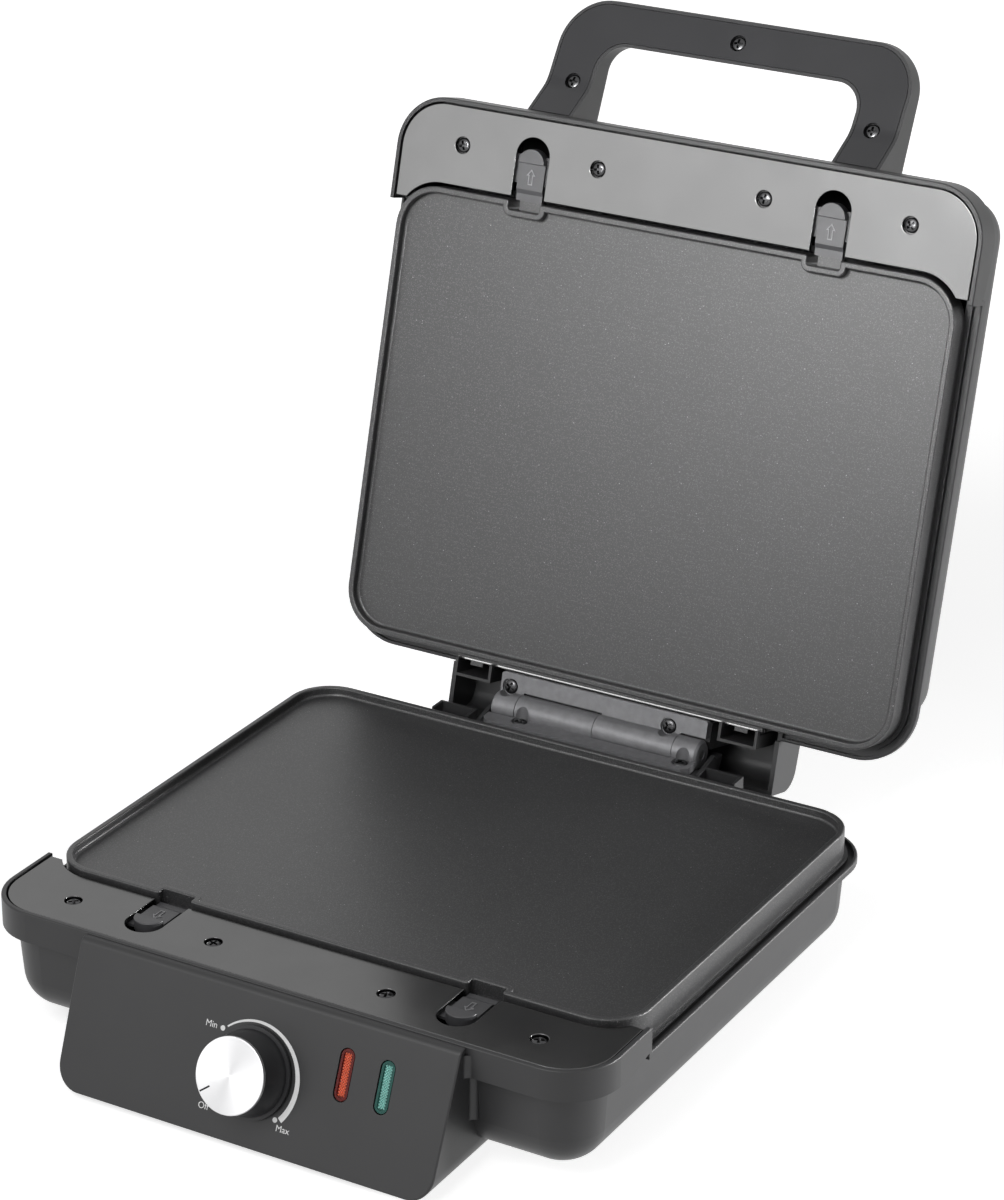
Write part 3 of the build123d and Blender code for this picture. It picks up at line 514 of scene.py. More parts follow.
@dataclass(frozen=True)
class Specks:
    """One layer of mineral specks: how far apart, how large, and the share of the places that are filled."""

    colour: str
    pitch_mm: float
    speck_mm: float
    share: float

    def over(self, surface: Surface, ground: Socket) -> Socket:
        """Scatter the specks, of differing brightness, over a colour.

        Args:
            surface: The material in the making.
            ground: Colour between the specks.

        Returns:
            Socket that carries both colours.
        """
        tree = surface.tree
        scale = 1 / (self.pitch_mm * MM)
        cells = add_node(tree, "ShaderNodeTexVoronoi", inputs={"Scale": scale, "Vector": surface.place})
        radius = self.speck_mm / self.pitch_mm / 2
        near = add_node(tree, *BELOW, {0: cells.outputs["Distance"], 1: radius})
        parts = add_node(tree, "ShaderNodeSeparateColor", inputs={"Color": cells.outputs["Color"]})
        chosen = add_node(tree, *BELOW, {0: parts.outputs["Red"], 1: self.share})
        both = add_node(tree, *PRODUCT, {0: near.outputs[0], 1: chosen.outputs[0]})
        strength = add_node(tree, *PRODUCT, {0: both.outputs[0], 1: parts.outputs["Green"]})
        inputs = {0: strength.outputs[0], 6: ground, 7: linear(self.colour)}
        return add_node(tree, "ShaderNodeMix", {"data_type": "RGBA"}, inputs).outputs[2]


@dataclass(frozen=True)
class SpeckledCoating(Finish):
    """Non-stick coating over cast aluminium: dark, with light mineral specks in two sizes; the large ones
    are partly painted glints, a painted highlight.
    """

    fine: Specks = Specks(colour="#505050", pitch_mm=0.6, speck_mm=0.5, share=0.9)
    # Large light specks: partly the coating's own specks, partly painted glints (painted highlight)
    large_specks_and_glints: Specks = Specks(colour="#9a9a9a", pitch_mm=1.6, speck_mm=0.42, share=0.12)

    def colour_of(self, surface: Surface) -> Socket:
        """Coating colour with its specks."""
        return self.large_specks_and_glints.over(surface, self.fine.over(surface, super().colour_of(surface)))


@dataclass(frozen=True)
class BrushedMetal(Finish):
    """Rolled or brushed surface: fine lines along the object's x axis."""

    metallic: float = 1.0
    line_mm: float = 0.5
    line_ratio: float = 40.0

    def relief(self, surface: Surface) -> None:
        """Brush lines as bump, each line_ratio times as long as it is wide.

        Args:
            surface: The material in the making.
        """
        inputs = {"Scale": (1 / self.line_ratio, 1.0, 1.0), "Vector": surface.place}
        drawn = add_node(surface.tree, "ShaderNodeMapping", inputs=inputs).outputs["Vector"]
        inputs = {"Scale": 1 / (self.line_mm * MM), "Detail": GRAIN_DETAIL, "Vector": drawn}
        noise = add_node(surface.tree, "ShaderNodeTexNoise", inputs=inputs)
        self.emboss(surface, noise.outputs["Fac"])


@dataclass(frozen=True)
class SpunMetal(Finish):
    """Turned aluminium: rings round the knob's axis and highlights that fan out from its centre."""

    metallic: float = 1.0
    ring_mm: float = 0.25
    fan: float = 0.8

    def relief(self, surface: Surface) -> None:
        """Rings as bump and a tangent that runs round the axis.

        Args:
            surface: The material in the making.
        """
        tree, knob = surface.tree, panel_place()
        from_axis = add_node(tree, *FROM_POINT, {0: surface.place, 1: knob.origin})
        along = add_node(tree, *CROSS, {0: from_axis.outputs["Vector"], 1: knob.z})
        radius = add_node(tree, *LENGTH, {0: along.outputs["Vector"]})
        inputs = {"Scale": 1 / (self.ring_mm * MM), "Detail": RING_DETAIL, "W": radius.outputs["Value"]}
        rings = add_node(tree, "ShaderNodeTexNoise", {"noise_dimensions": "1D"}, inputs)
        self.emboss(surface, rings.outputs["Fac"])
        surface.shader.inputs["Anisotropic"].default_value = self.fan
        tree.links.new(along.outputs["Vector"], surface.shader.inputs["Tangent"])


@dataclass(frozen=True)
class LensPlastic(Finish):
    """Tinted see-through acrylic, with the gloss of a smooth moulded face."""

    roughness: float = 0.12
    mottle_mm: float = 3.0
    specular: float = 0.15
    transmission: float = 0.4
    ior: float = 1.49

    def extras(self, surface: Surface) -> None:
        """See-through share of the tinted acrylic."""
        surface.shader.inputs["Transmission Weight"].default_value = self.transmission
        surface.shader.inputs["IOR"].default_value = self.ior


class Finishes(Enum):
    """Every finish on the object, named for what the real one is."""

    # Spark-eroded ABS moulding: a fine dull grain that spreads the light
    HOUSING_ABS = Finish(
        "spark_eroded_abs", "#2b2b2c", roughness=0.42, mottle_mm=30.0, grain_mm=0.7, depth_mm=0.010,
        specular=0.4, smudge=0.05,
    )
    # Polished ABS handle cover: darker and glossier than the shell round it
    COVER_ABS = Finish(
        "polished_cover_abs", "#212123", roughness=0.32, mottle_mm=30.0, grain_mm=0.7, depth_mm=0.006,
        specular=0.4, smudge=0.05,
    )
    # Metallic-lacquered ABS deck: finely brushed, so it answers the lamps with broad soft patches
    DECK_LACQUER = BrushedMetal(
        "metallic_lacquered_abs", "#616161", roughness=0.18, mottle=0.04, mottle_mm=25.0, depth_mm=0.004,
        smudge=0.04,
    )
    # Glass-filled nylon latches: dull and slightly cloudy
    LATCH_NYLON = Finish(
        "glass_filled_nylon", "#3e3e40", roughness=0.4, mottle=0.10, mottle_mm=5.0, depth_mm=0.014
    )
    # The latches' embossed lines: lighter and smoother than the latch; the lighter colour is a painted
    # highlight on the raised lines
    ARROW_HIGHLIGHT_NYLON = Finish(
        "arrow_painted_highlight_nylon", "#7e7e80", roughness=0.3, mottle=0.10, mottle_mm=3.0, depth_mm=0.006
    )
    # Non-stick coating sprayed on cast aluminium: a soft dark gloss, dusted with specks, the large ones
    # partly painted glints
    PLATE_COATING = SpeckledCoating(
        "speckled_nonstick_coating", "#2c2c2d", roughness=0.38, mottle=0.04, mottle_mm=20.0, grain_mm=0.6,
        depth_mm=0.012, specular=0.6, smudge=0.03,
    )
    # Milled rear edge of the plates: bare aluminium that flashes in the light
    BARE_EDGE = BrushedMetal("milled_bare_aluminium", "#e6e6e6", roughness=0.24, mottle=0.03, depth_mm=0.003)
    # Rolled sheet of the trays: long soft reflections
    BRIGHT_SHEET = BrushedMetal(
        "rolled_bright_sheet", "#c9c9ca", roughness=0.22, mottle=0.03, mottle_mm=10.0, depth_mm=0.004
    )
    # Drawn heater tube: steel dulled and browned by heat
    HEATER_STEEL = Finish(
        "drawn_heater_tube", "#6a655f", roughness=0.38, metallic=1.0, mottle=0.15, mottle_mm=6.0,
        grain_mm=0.4, depth_mm=0.004,
    )
    # Die-cast zinc under grey baked paint: a satin sheen, a little uneven
    HINGE_CASTING = Finish(
        "painted_zinc_casting", "#6e6e70", roughness=0.46, metallic=0.35, mottle=0.12, grain_mm=0.9,
        depth_mm=0.022,
    )
    # Ground steel pin and shaft: bright, with fine lines
    PIN_STEEL = BrushedMetal(
        "ground_steel", "#9a9a9c", roughness=0.3, mottle=0.03, mottle_mm=5.0, depth_mm=0.003
    )
    # Blackened steel screws: dark, with small sharp glints in the recess
    SCREW_STEEL = Finish(
        "blackened_screw_steel", "#484849", roughness=0.26, metallic=1.0, mottle=0.12, mottle_mm=1.5,
        grain_mm=0.3, depth_mm=0.004,
    )
    # Tinted acrylic lenses: a deep, wet-looking rim
    RED_LENS = LensPlastic("red_acrylic_lens", "#7c1a12")
    GREEN_LENS = LensPlastic("bluegreen_acrylic_lens", "#2f6f66")
    # The lenses' pressed diamond faces: a lighter copy of the rim's acrylic, a painted highlight that makes
    # them look lighter than the smooth rim
    RED_KNURL_HIGHLIGHT = LensPlastic("red_acrylic_knurl_highlight", "#fc7854", roughness=0.22, specular=0.4, transmission=0.1)
    GREEN_KNURL_HIGHLIGHT = LensPlastic(
        "bluegreen_acrylic_knurl_highlight", "#a0e0d6", roughness=0.22, specular=0.4, transmission=0.1
    )
    # Glass of the hidden lamps: smooth and cream-coloured
    LAMP_GLASS = Finish("lamp_glass", "#e8e0d0", roughness=0.15, mottle=0.02, mottle_mm=3.0)
    # Heat-resistant phenolic moulding: brown and cloudy
    THERMOSTAT_PHENOLIC = Finish(
        "brown_phenolic", "#4a3526", roughness=0.45, mottle=0.12, grain_mm=0.6, depth_mm=0.010
    )
    # Knob moulding: near black, with a soft sheen on its shoulder
    KNOB_ABS = Finish(
        "black_knob_abs", "#232325", roughness=0.42, mottle_mm=6.0, depth_mm=0.006, specular=0.4
    )
    # Turned aluminium cap: fine rings and a fan of highlights
    KNOB_ALUMINIUM = SpunMetal("turned_aluminium", "#d4d4d5", roughness=0.34, mottle=0.0, depth_mm=0.003)
    # Moulded rubber: no gloss
    RUBBER = Finish("moulded_rubber", "#222223", roughness=0.75, mottle=0.06, depth_mm=0.02)
    # Pad-printed paint: opaque and flat
    PRINT_WHITE = Finish("white_pad_print", "#ececec", mottle=0.02, mottle_mm=1.0)
    # Knob pointer line: black standing in for the shade of the cap's pointer groove, painted shade
    GROOVE_SHADE_BLACK = Finish(
        "painted_groove_shade_black", "#0e0e0f", roughness=0.6, mottle=0.02, mottle_mm=1.0, specular=0.2
    )

    def material(self) -> bpy.types.Material:
        """Material of this finish."""
        return self.value.build()


# Sub-assemblies
@dataclass
class SubAssembly:
    """What every sub-assembly does with its CAD nodes and its new pieces."""

    def dress(self, finish: Finishes, *nodes: str) -> None:
        """Give CAD nodes a finish.

        Args:
            finish: The finish.
            nodes: Names of the nodes.
        """
        for name in nodes:
            node = frame["nodes"][name]
            if not node.material_slots:
                node.data.materials.append(None)
            for slot in node.material_slots:
                slot.material = finish.material()
            LOG.info("dressed %s in %s", name, finish.value.name)

    def hand_over(self, piece: Piece, body: str, finish: Finishes, slot: Optional[str] = None) -> None:
        """Dress a new piece and let it ride on its body.

        Args:
            piece: The piece.
            body: Name of the body that carries it.
            finish: Its finish.
            slot: The record's material slot, where it has one; not used.
        """
        piece.data.materials.clear()
        piece.data.materials.append(finish.material())
        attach(piece, body)
        LOG.info("made %s on %s with %d faces", piece.name, body, len(piece.data.polygons))


@dataclass
class Housings(SubAssembly):
    """Moulded shells, decks, feet and gland."""

    def build(self) -> None:
        """Dress the mouldings."""
        self.dress(Finishes.HOUSING_ABS, "base_housing", "control_box", "lid_housing")
        self.dress(Finishes.COVER_ABS, "handle_cover")
        self.dress(Finishes.DECK_LACQUER, "base_deck", "lid_deck")
        self.dress(Finishes.RUBBER, "front_feet", "rear_feet", "cord_gland")


@dataclass
class Screws(SubAssembly):
    """Pan-head screws with cross recesses, set by Geometry Nodes where the CAD screws are."""

    head_radius: float = 3.4
    head_height: float = 1.9
    head_rim: float = 0.5
    head_fullness: float = 0.75
    shank_radius: float = 1.5
    shank_length: float = 9.0
    shank_tip: float = 1.2
    recess_half: float = 2.4
    recess_foot: float = 1.4
    recess_width: float = 1.2
    recess_taper: float = 0.75
    recess_depth: float = 1.6
    recess_over: float = 0.3
    dome_steps: int = 8
    segments: int = 40
    seed: int = 7
    handle_knee: tuple[float, float] = (40.0, 14.0)

    def build(self) -> None:
        """Make the screws of the base and of the lid."""
        tree, master = self.setting_tree(), self.screw()
        base, lid = hinge_place(), lid_place()
        run, rise = self.handle_knee
        handle = lid.turned(math.degrees(math.atan2(rise, run)))
        on_base = {"base_deck_screws": base, "hinge_lower_screws": base}
        on_lid = {"lid_deck_screws": lid, "hinge_upper_screws": lid, "handle_screws": handle}
        self.set_in("base_screws", "base", on_base, tree, master)
        self.set_in("lid_screws", "lid", on_lid, tree, master)
        bpy.data.objects.remove(master)

    def screw(self) -> Piece:
        """One screw in millimetres, the top of its head on z = 0.

        Returns:
            The screw as a plain mesh object.
        """
        dome = self.head_height - self.head_rim
        profile = [(0.0, 0.0)]
        for step in range(1, self.dome_steps + 1):
            turn = math.pi / 2 * step / self.dome_steps
            radius = self.head_radius * math.sin(turn) ** self.head_fullness
            profile.append((radius, dome * (max(math.cos(turn), 0.0) ** self.head_fullness - 1)))
        foot = -self.head_height
        tip = foot - self.shank_length
        profile += [(self.head_radius, foot), (self.shank_radius, foot)]
        profile += [(self.shank_radius, tip + self.shank_tip), (0.0, tip)]
        body = lathe("screw", profile, self.segments)
        arms = [self.recess_arm(turn) for turn in (0.0, math.pi / 2)]
        for arm in arms:
            cut = body.modifiers.new("recess", "BOOLEAN")
            cut.operation = "DIFFERENCE"
            cut.object = arm
        body = baked(body, "screw_master")
        for arm in arms:
            bpy.data.objects.remove(arm)
        shade_smooth(body)
        return body

    def recess_arm(self, turn: float) -> Piece:
        """Tapered cutter for one pair of arms of the cross recess.

        Args:
            turn: Its angle about z in radians.

        Returns:
            The cutter in millimetres.
        """
        top = (self.recess_half, self.recess_width / 2, self.recess_over)
        foot = (self.recess_foot, self.recess_width / 2 * self.recess_taper, -self.recess_depth)
        cos, sin = math.cos(turn), math.sin(turn)
        sections = []
        for half_x, half_y, z in (foot, top):
            rim = ((-half_x, -half_y), (half_x, -half_y), (half_x, half_y), (-half_x, half_y))
            sections.append([(x * cos - y * sin, x * sin + y * cos, z) for x, y in rim])
        return loft("recess_arm", sections)

    def setting_tree(self) -> Tree:
        """Geometry Nodes tree that sets a screw on each point, each turned by chance.

        Returns:
            The tree.
        """
        kinds = {"Screw": "NodeSocketObject", "Seed": "NodeSocketInt", "Material": "NodeSocketMaterial"}
        tree = new_tree("screw_setting", kinds)
        source = add_node(tree, "NodeGroupInput").outputs
        screw = add_node(tree, "GeometryNodeObjectInfo", inputs={"Object": source["Screw"]})
        inputs = {2: 0.0, 3: math.pi, "Seed": source["Seed"]}
        chance = add_node(tree, "FunctionNodeRandomValue", {"data_type": "FLOAT"}, inputs)
        spin = add_node(tree, "ShaderNodeCombineXYZ", inputs={"Z": chance.outputs[1]}).outputs["Vector"]
        inputs = {"Points": source["Points"], "Instance": screw.outputs["Geometry"], "Rotation": spin}
        setting = add_node(tree, "GeometryNodeInstanceOnPoints", inputs=inputs)
        end_tree(tree, setting.outputs["Instances"], source["Material"])
        return tree

    def set_in(self, name: str, body: str, groups: dict[str, Place], tree: Tree, master: Piece) -> None:
        """Set the screws of one body and let them stand for the CAD screws.

        Args:
            name: Name of the piece.
            body: Body that carries the screws.
            groups: CAD node of each group and the place its heads face out of.
            tree: Tree that sets them.
            master: The screw that it repeats.
        """
        material = Finishes.SCREW_STEEL.material()
        pieces = []
        for number, (node, place) in enumerate(groups.items()):
            heads = [((a.x + b.x) / 2, (a.y + b.y) / 2, b.z) for a, b in loose_parts(node, place)]
            inputs = {"Screw": master, "Seed": self.seed + number, "Material": material}
            pieces.append(grown(node + "_heads", tree, heads, inputs, place.matrix()))
        piece = joined(pieces, name)
        shade_smooth(piece)
        self.hand_over(piece, body, Finishes.SCREW_STEEL, "black_screw")
        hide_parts(*groups)


@dataclass
class CookingPlates(SubAssembly):
    """Coated plates with their bare rear edges, trays and heating elements."""

    ledge_half: float = 78.4
    ledge_top: float = -3.5
    lug_reach: float = 1.9
    edge_round: float = 0.4
    strip_lead: float = 0.5
    strip_drop: float = 1.1
    strip_proud: float = 0.03
    strip_thick: float = 0.4
    round_steps: int = 4

    def build(self) -> None:
        """Dress the plates and what lies behind them, and add the bare edges."""
        self.dress(Finishes.PLATE_COATING, "lower_plate", "upper_plate")
        self.dress(Finishes.BRIGHT_SHEET, "lower_reflector", "upper_reflector")
        self.dress(Finishes.HEATER_STEEL, "lower_heating_element", "upper_heating_element")
        self.edge_strip("lower_plate", "base", hinge_place())
        self.edge_strip("upper_plate", "lid", lid_place())

    def edge_strip(self, node: str, body: str, place: Place) -> None:
        """Bare metal along the rounded rear edge of a plate's ledge.

        Args:
            node: The plate.
            body: Body that carries it.
            place: Frame of the plate.
        """
        back = extent(node, place)[1].y - self.lug_reach
        top = self.ledge_top
        outer = self.edge_round + self.strip_proud
        centre = (back - self.edge_round, top - self.edge_round)
        lead, low = centre[0] - self.strip_lead, top - self.strip_drop
        section = [(lead, top + self.strip_proud)]
        for step in range(self.round_steps + 1):
            turn = math.pi / 2 * (1 - step / self.round_steps)
            section.append((centre[0] + outer * math.cos(turn), centre[1] + outer * math.sin(turn)))
        inner, under = back - self.strip_thick, top - self.strip_thick
        section += [(back + self.strip_proud, low), (inner, low), (inner, under), (lead, under)]
        loops = [[(x, y, z) for y, z in section] for x in (-self.ledge_half, self.ledge_half)]
        piece = baked(loft(node, loops), node + "_bare_edge", place.matrix())
        shade_smooth(piece)
        self.hand_over(piece, body, Finishes.BARE_EDGE, "nonstick_plate")


@dataclass
class Hinge(SubAssembly):
    """Cast hinge leaves and their pin."""

    def build(self) -> None:
        """Dress the hinge."""
        self.dress(Finishes.HINGE_CASTING, "hinge_lower_leaf", "hinge_upper_leaf")
        self.dress(Finishes.PIN_STEEL, "hinge_pin")


@dataclass
class Latches(SubAssembly):
    """The four plate latches, each with its embossed arrow."""

    head_run: float = 6.7
    arrow_from_head: float = 6.0
    arrow_length: float = 7.2
    arrow_head_length: float = 3.0
    arrow_head_half: float = 2.3
    arrow_shaft_half: float = 1.15
    face_drop: float = 2.1
    line_width: float = 0.45
    line_height: float = 0.3
    line_root: float = 0.1

    def build(self) -> None:
        """Dress the latches and emboss their arrows."""
        for side, place in (("lower", hinge_place()), ("upper", lid_place())):
            for hand in ("left", "right"):
                name = f"{side}_latch_{hand}"
                self.dress(Finishes.LATCH_NYLON, name)
                self.arrow(name, place)

    def outline(self) -> Outline:
        """Outline of the arrow round its own middle, pointing towards -y.

        Returns:
            Its seven corners, counter-clockwise.
        """
        tail = self.arrow_length / 2
        barb = -tail + self.arrow_head_length
        right = [(self.arrow_head_half, barb), (self.arrow_shaft_half, barb), (self.arrow_shaft_half, tail)]
        return [(0, -tail), *right, *[(-x, y) for x, y in reversed(right)]]

    def inset(self, outline: Outline) -> Outline:
        """Move an outline inwards by the line's width, with mitred corners.

        Args:
            outline: Its corners, counter-clockwise.

        Returns:
            The inner corners in the same order.
        """
        result = []
        for i, point in enumerate(outline):
            before = Vector(point) - Vector(outline[i - 1])
            after = Vector(outline[(i + 1) % len(outline)]) - Vector(point)
            first = Vector((-before.y, before.x)).normalized()
            second = Vector((-after.y, after.x)).normalized()
            shift = (first + second) / (1 + first.dot(second)) * self.line_width
            result.append((point[0] + shift.x, point[1] + shift.y))
        return result

    def arrow(self, name: str, place: Place) -> None:
        """Raised outline arrow on one latch, pointing the way the latch is pushed.

        Args:
            name: The latch, both node and body.
            place: Frame of the half that it sits in.
        """
        low, high = extent(name, place)
        x = (low.x + high.x) / 2
        y = low.y + self.head_run + self.arrow_from_head
        face = high.z - self.face_drop
        under, over = face - self.line_root, face + self.line_height
        outline = self.outline()
        sections = []
        for corner in zip(outline, self.inset(outline)):
            outer, inner = [(x + a, y + b) for a, b in corner]
            sections.append([(*outer, under), (*outer, over), (*inner, over), (*inner, under)])
        piece = baked(loft(name, sections, closed=True), name + "_arrow", place.matrix())
        # The arrow's lighter colour is painted highlight on its raised lines
        self.hand_over(piece, name, Finishes.ARROW_HIGHLIGHT_NYLON, "latch_plastic")


@dataclass
class Lenses(SubAssembly):
    """The two indicator lenses with their diamond knurl, and the lamps behind them."""

    lens_width: float = 5.9
    lens_length: float = 21.1
    rim: float = 1.0
    strip_depth: float = 0.9
    pitch: float = 0.85
    knurl_height: float = 0.4
    cover: float = 0.97
    root: float = 0.05
    count: int = 25

    def build(self) -> None:
        """Dress the lenses and their lamps, and add the knurl."""
        self.dress(Finishes.LAMP_GLASS, "indicator_lamps")
        tree, panel = self.knurl_tree(), panel_place()
        # Each knurl gets the lighter copy of its lens's acrylic: painted highlight
        for node, smooth, knurl in (
            ("red_lens", Finishes.RED_LENS, Finishes.RED_KNURL_HIGHLIGHT),
            ("green_lens", Finishes.GREEN_LENS, Finishes.GREEN_KNURL_HIGHLIGHT),
        ):
            self.dress(smooth, node)
            low, high = extent(node, panel)
            origin = panel.point((low.x + high.x) / 2, (low.y + high.y) / 2, -self.strip_depth - self.root)
            inputs = {
                "Length": self.lens_length - 2 * self.rim,
                "Width": self.lens_width - 2 * self.rim,
                "Pitch": self.pitch,
                "Height": self.knurl_height + self.root,
                "Count": self.count,
                "Material": knurl.material(),
            }
            matrix = Place(origin, panel.x, panel.y).matrix()
            piece = grown(node + "_knurl", tree, [(0, 0, 0)], inputs, matrix)
            self.hand_over(piece, "base", knurl, node)

    def knurl_tree(self) -> Tree:
        """Geometry Nodes tree that covers a round-ended strip with small square pyramids.

        Returns:
            The tree.
        """
        kinds = {name: "NodeSocketFloat" for name in ("Length", "Width", "Pitch", "Height")}
        kinds.update({"Count": "NodeSocketInt", "Material": "NodeSocketMaterial"})
        tree = new_tree("diamond_knurl", kinds)
        source = add_node(tree, "NodeGroupInput").outputs
        pitch, width, count = source["Pitch"], source["Width"], source["Count"]

        # A square grid, turned so that the pyramids stand on their corners
        across = add_node(tree, *PRODUCT, {0: pitch, 1: self.count - 1}).outputs[0]
        inputs = {"Size X": across, "Size Y": across, "Vertices X": count, "Vertices Y": count}
        grid = add_node(tree, "GeometryNodeMeshGrid", inputs=inputs)
        inputs = {"Rotation": (0.0, 0.0, math.pi / 4), "Geometry": grid.outputs["Mesh"]}
        points = add_node(tree, "GeometryNodeTransform", inputs=inputs).outputs["Geometry"]

        # Distance of each point from the strip's middle line
        spot = add_node(tree, "GeometryNodeInputPosition").outputs["Position"]
        parts = add_node(tree, "ShaderNodeSeparateXYZ", inputs={0: spot})
        straight = add_node(tree, *DIFFERENCE, {0: source["Length"], 1: width}).outputs[0]
        along = add_node(tree, *WITHOUT_SIGN, {0: parts.outputs["Y"]}).outputs[0]
        end = add_node(tree, *PRODUCT, {0: straight, 1: 0.5}).outputs[0]
        beyond = add_node(tree, *DIFFERENCE, {0: along, 1: end}).outputs[0]
        beyond = add_node(tree, *LARGER, {0: beyond, 1: 0.0}).outputs[0]
        off_line = add_node(tree, "ShaderNodeCombineXYZ", inputs={"X": parts.outputs["X"], "Y": beyond})
        distance = add_node(tree, *LENGTH, {0: off_line.outputs["Vector"]})

        # A pyramid on each point that has room for a whole one
        room = add_node(tree, *DIFFERENCE, {0: width, 1: pitch}).outputs[0]
        half_room = add_node(tree, *PRODUCT, {0: room, 1: 0.5}).outputs[0]
        inside = add_node(tree, *BELOW, {0: distance.outputs["Value"], 1: half_room}).outputs[0]
        foot = add_node(tree, *PRODUCT, {0: pitch, 1: self.cover * math.sqrt(0.5)})
        pyramid = add_node(
            tree, "GeometryNodeMeshCone", {"fill_type": "NGON"},
            {"Vertices": 4, "Radius Top": 0.0, "Radius Bottom": foot.outputs[0], "Depth": source["Height"]},
        )
        inputs = {"Points": points, "Selection": inside, "Instance": pyramid.outputs["Mesh"]}
        setting = add_node(tree, "GeometryNodeInstanceOnPoints", inputs=inputs)
        end_tree(tree, setting.outputs["Instances"], source["Material"])
        return tree


@dataclass
class PanelPrint(SubAssembly):
    """White scale and words round the knob, printed on the panel, in millimetres from the knob's axis."""

    arc_centre: tuple[float, float] = (0.09, -1.18)
    arc_radius: float = 21.95
    arc_from: float = 131.5
    arc_to: float = -39.0
    thin_end: float = 0.7
    thick_end: float = 2.5
    arc_steps: int = 72
    dot_radius: float = 1.1
    dot_segments: int = 24
    dots: tuple[tuple[float, float], ...] = ((-16.51, 14.02), (15.01, -15.37))
    words: tuple[str, ...] = ("Min", "Max", "Off")
    word_spots: tuple[tuple[float, float], ...] = ((-22.0, 14.3), (19.25, -18.34), (-18.6, -18.74))
    word_size: float = 3.8
    print_root: float = 0.02
    print_height: float = 0.05

    def build(self) -> None:
        """Print the arc, its end dots and the three words."""
        pieces = [self.arc()] + [self.dot(x, y) for x, y in self.dots]
        pieces += [self.word(text, x, y) for text, (x, y) in zip(self.words, self.word_spots)]
        piece = joined(pieces, "panel_print")
        self.hand_over(piece, "base", Finishes.PRINT_WHITE)

    def arc(self) -> Piece:
        """The scale's arc, growing from its thin end to its thick end.

        Returns:
            The arc as a plain mesh.
        """
        centre_x, centre_y = self.arc_centre
        low, high = -self.print_root, self.print_height
        sections = []
        for step in range(self.arc_steps + 1):
            share = step / self.arc_steps
            turn = math.radians(self.arc_from + (self.arc_to - self.arc_from) * share)
            half = (self.thin_end + (self.thick_end - self.thin_end) * share) / 2
            inner, outer = [
                (centre_x + radius * math.cos(turn), centre_y + radius * math.sin(turn))
                for radius in (self.arc_radius - half, self.arc_radius + half)
            ]
            sections.append([(*inner, low), (*outer, low), (*outer, high), (*inner, high)])
        return baked(loft("scale_arc", sections), "scale_arc", panel_place().matrix())

    def dot(self, x: float, y: float) -> Piece:
        """A printed dot.

        Args:
            x: Millimetres to the right of the knob's axis.
            y: Millimetres up the slope from the knob's axis.

        Returns:
            The dot as a plain mesh.
        """
        edge, low, high = self.dot_radius, -self.print_root, self.print_height
        profile = [(0.0, high), (edge, high), (edge, low), (0.0, low)]
        place = panel_place().matrix() @ Matrix.Translation((x, y, 0))
        return baked(lathe("scale_dot", profile, self.dot_segments), "scale_dot", place)

    def word(self, text: str, x: float, y: float) -> Piece:
        """A printed word centred at a spot on the panel.

        Args:
            text: The word.
            x: Millimetres to the right of the knob's axis.
            y: Millimetres up the slope from the knob's axis.

        Returns:
            The word as a plain mesh.
        """
        curve = bpy.data.curves.new("scale_word", "FONT")
        curve.body = text
        curve.size = self.word_size
        curve.extrude = (self.print_height + self.print_root) / 2
        curve.align_x = "CENTER"
        curve.align_y = "CENTER"
        letters = scene_object("scale_word", curve)
        lift = (self.print_height - self.print_root) / 2
        return baked(letters, "scale_word", panel_place().matrix() @ Matrix.Translation((x, y, lift)))


@dataclass
class Knob(SubAssembly):
    """Black knob with its turned cap and the pointer line, and what is behind it."""

    pointer_from: float = 10.1
    pointer_to: float = 15.2
    pointer_width: float = 0.7
    pointer_turn: float = 218.0
    pointer_height: float = 0.04
    pointer_root: float = 0.02

    def build(self) -> None:
        """Dress the knob and add its pointer line, black as painted shade of the cap's pointer groove."""
        self.dress(Finishes.KNOB_ABS, "knob_skirt")
        self.dress(Finishes.KNOB_ALUMINIUM, "knob_cap")
        self.dress(Finishes.PIN_STEEL, "knob_shaft")
        self.dress(Finishes.THERMOSTAT_PHENOLIC, "thermostat")
        top = extent("knob_cap", panel_place())[1].z
        half = self.pointer_width / 2
        low, high = top - self.pointer_root, top + self.pointer_height
        sections = [
            [(reach, -half, low), (reach, half, low), (reach, half, high), (reach, -half, high)]
            for reach in (self.pointer_from, self.pointer_to)
        ]
        turn = Matrix.Rotation(math.radians(self.pointer_turn), 4, "Z")
        piece = baked(loft("pointer", sections), "knob_pointer", panel_place().matrix() @ turn)
        # The pointer's black is painted shade of the cap's pointer groove
        self.hand_over(piece, "knob", Finishes.GROOVE_SHADE_BLACK, "knob_plastic")


# Studio
@dataclass(frozen=True)
class Softbox:
    """A soft rectangular lamp, in metres and watts; the beam is its full angle in degrees."""

    name: str
    place: Point
    target: Point
    size: tuple[float, float]
    watts: float
    beam: float = 180.0

    def build(self) -> None:
        """Set the lamp up, facing its target."""
        data = bpy.data.lights.new(self.name, "AREA")
        data.shape = "RECTANGLE"
        data.size, data.size_y = self.size
        data.energy = self.watts
        data.spread = math.radians(self.beam)
        aim = Vector(self.target) - Vector(self.place)
        turn = aim.to_track_quat("-Z", "Y").to_matrix().to_4x4()
        scene_object(self.name, data).matrix_world = Matrix.Translation(self.place) @ turn
        LOG.info("placed %s", self.name)


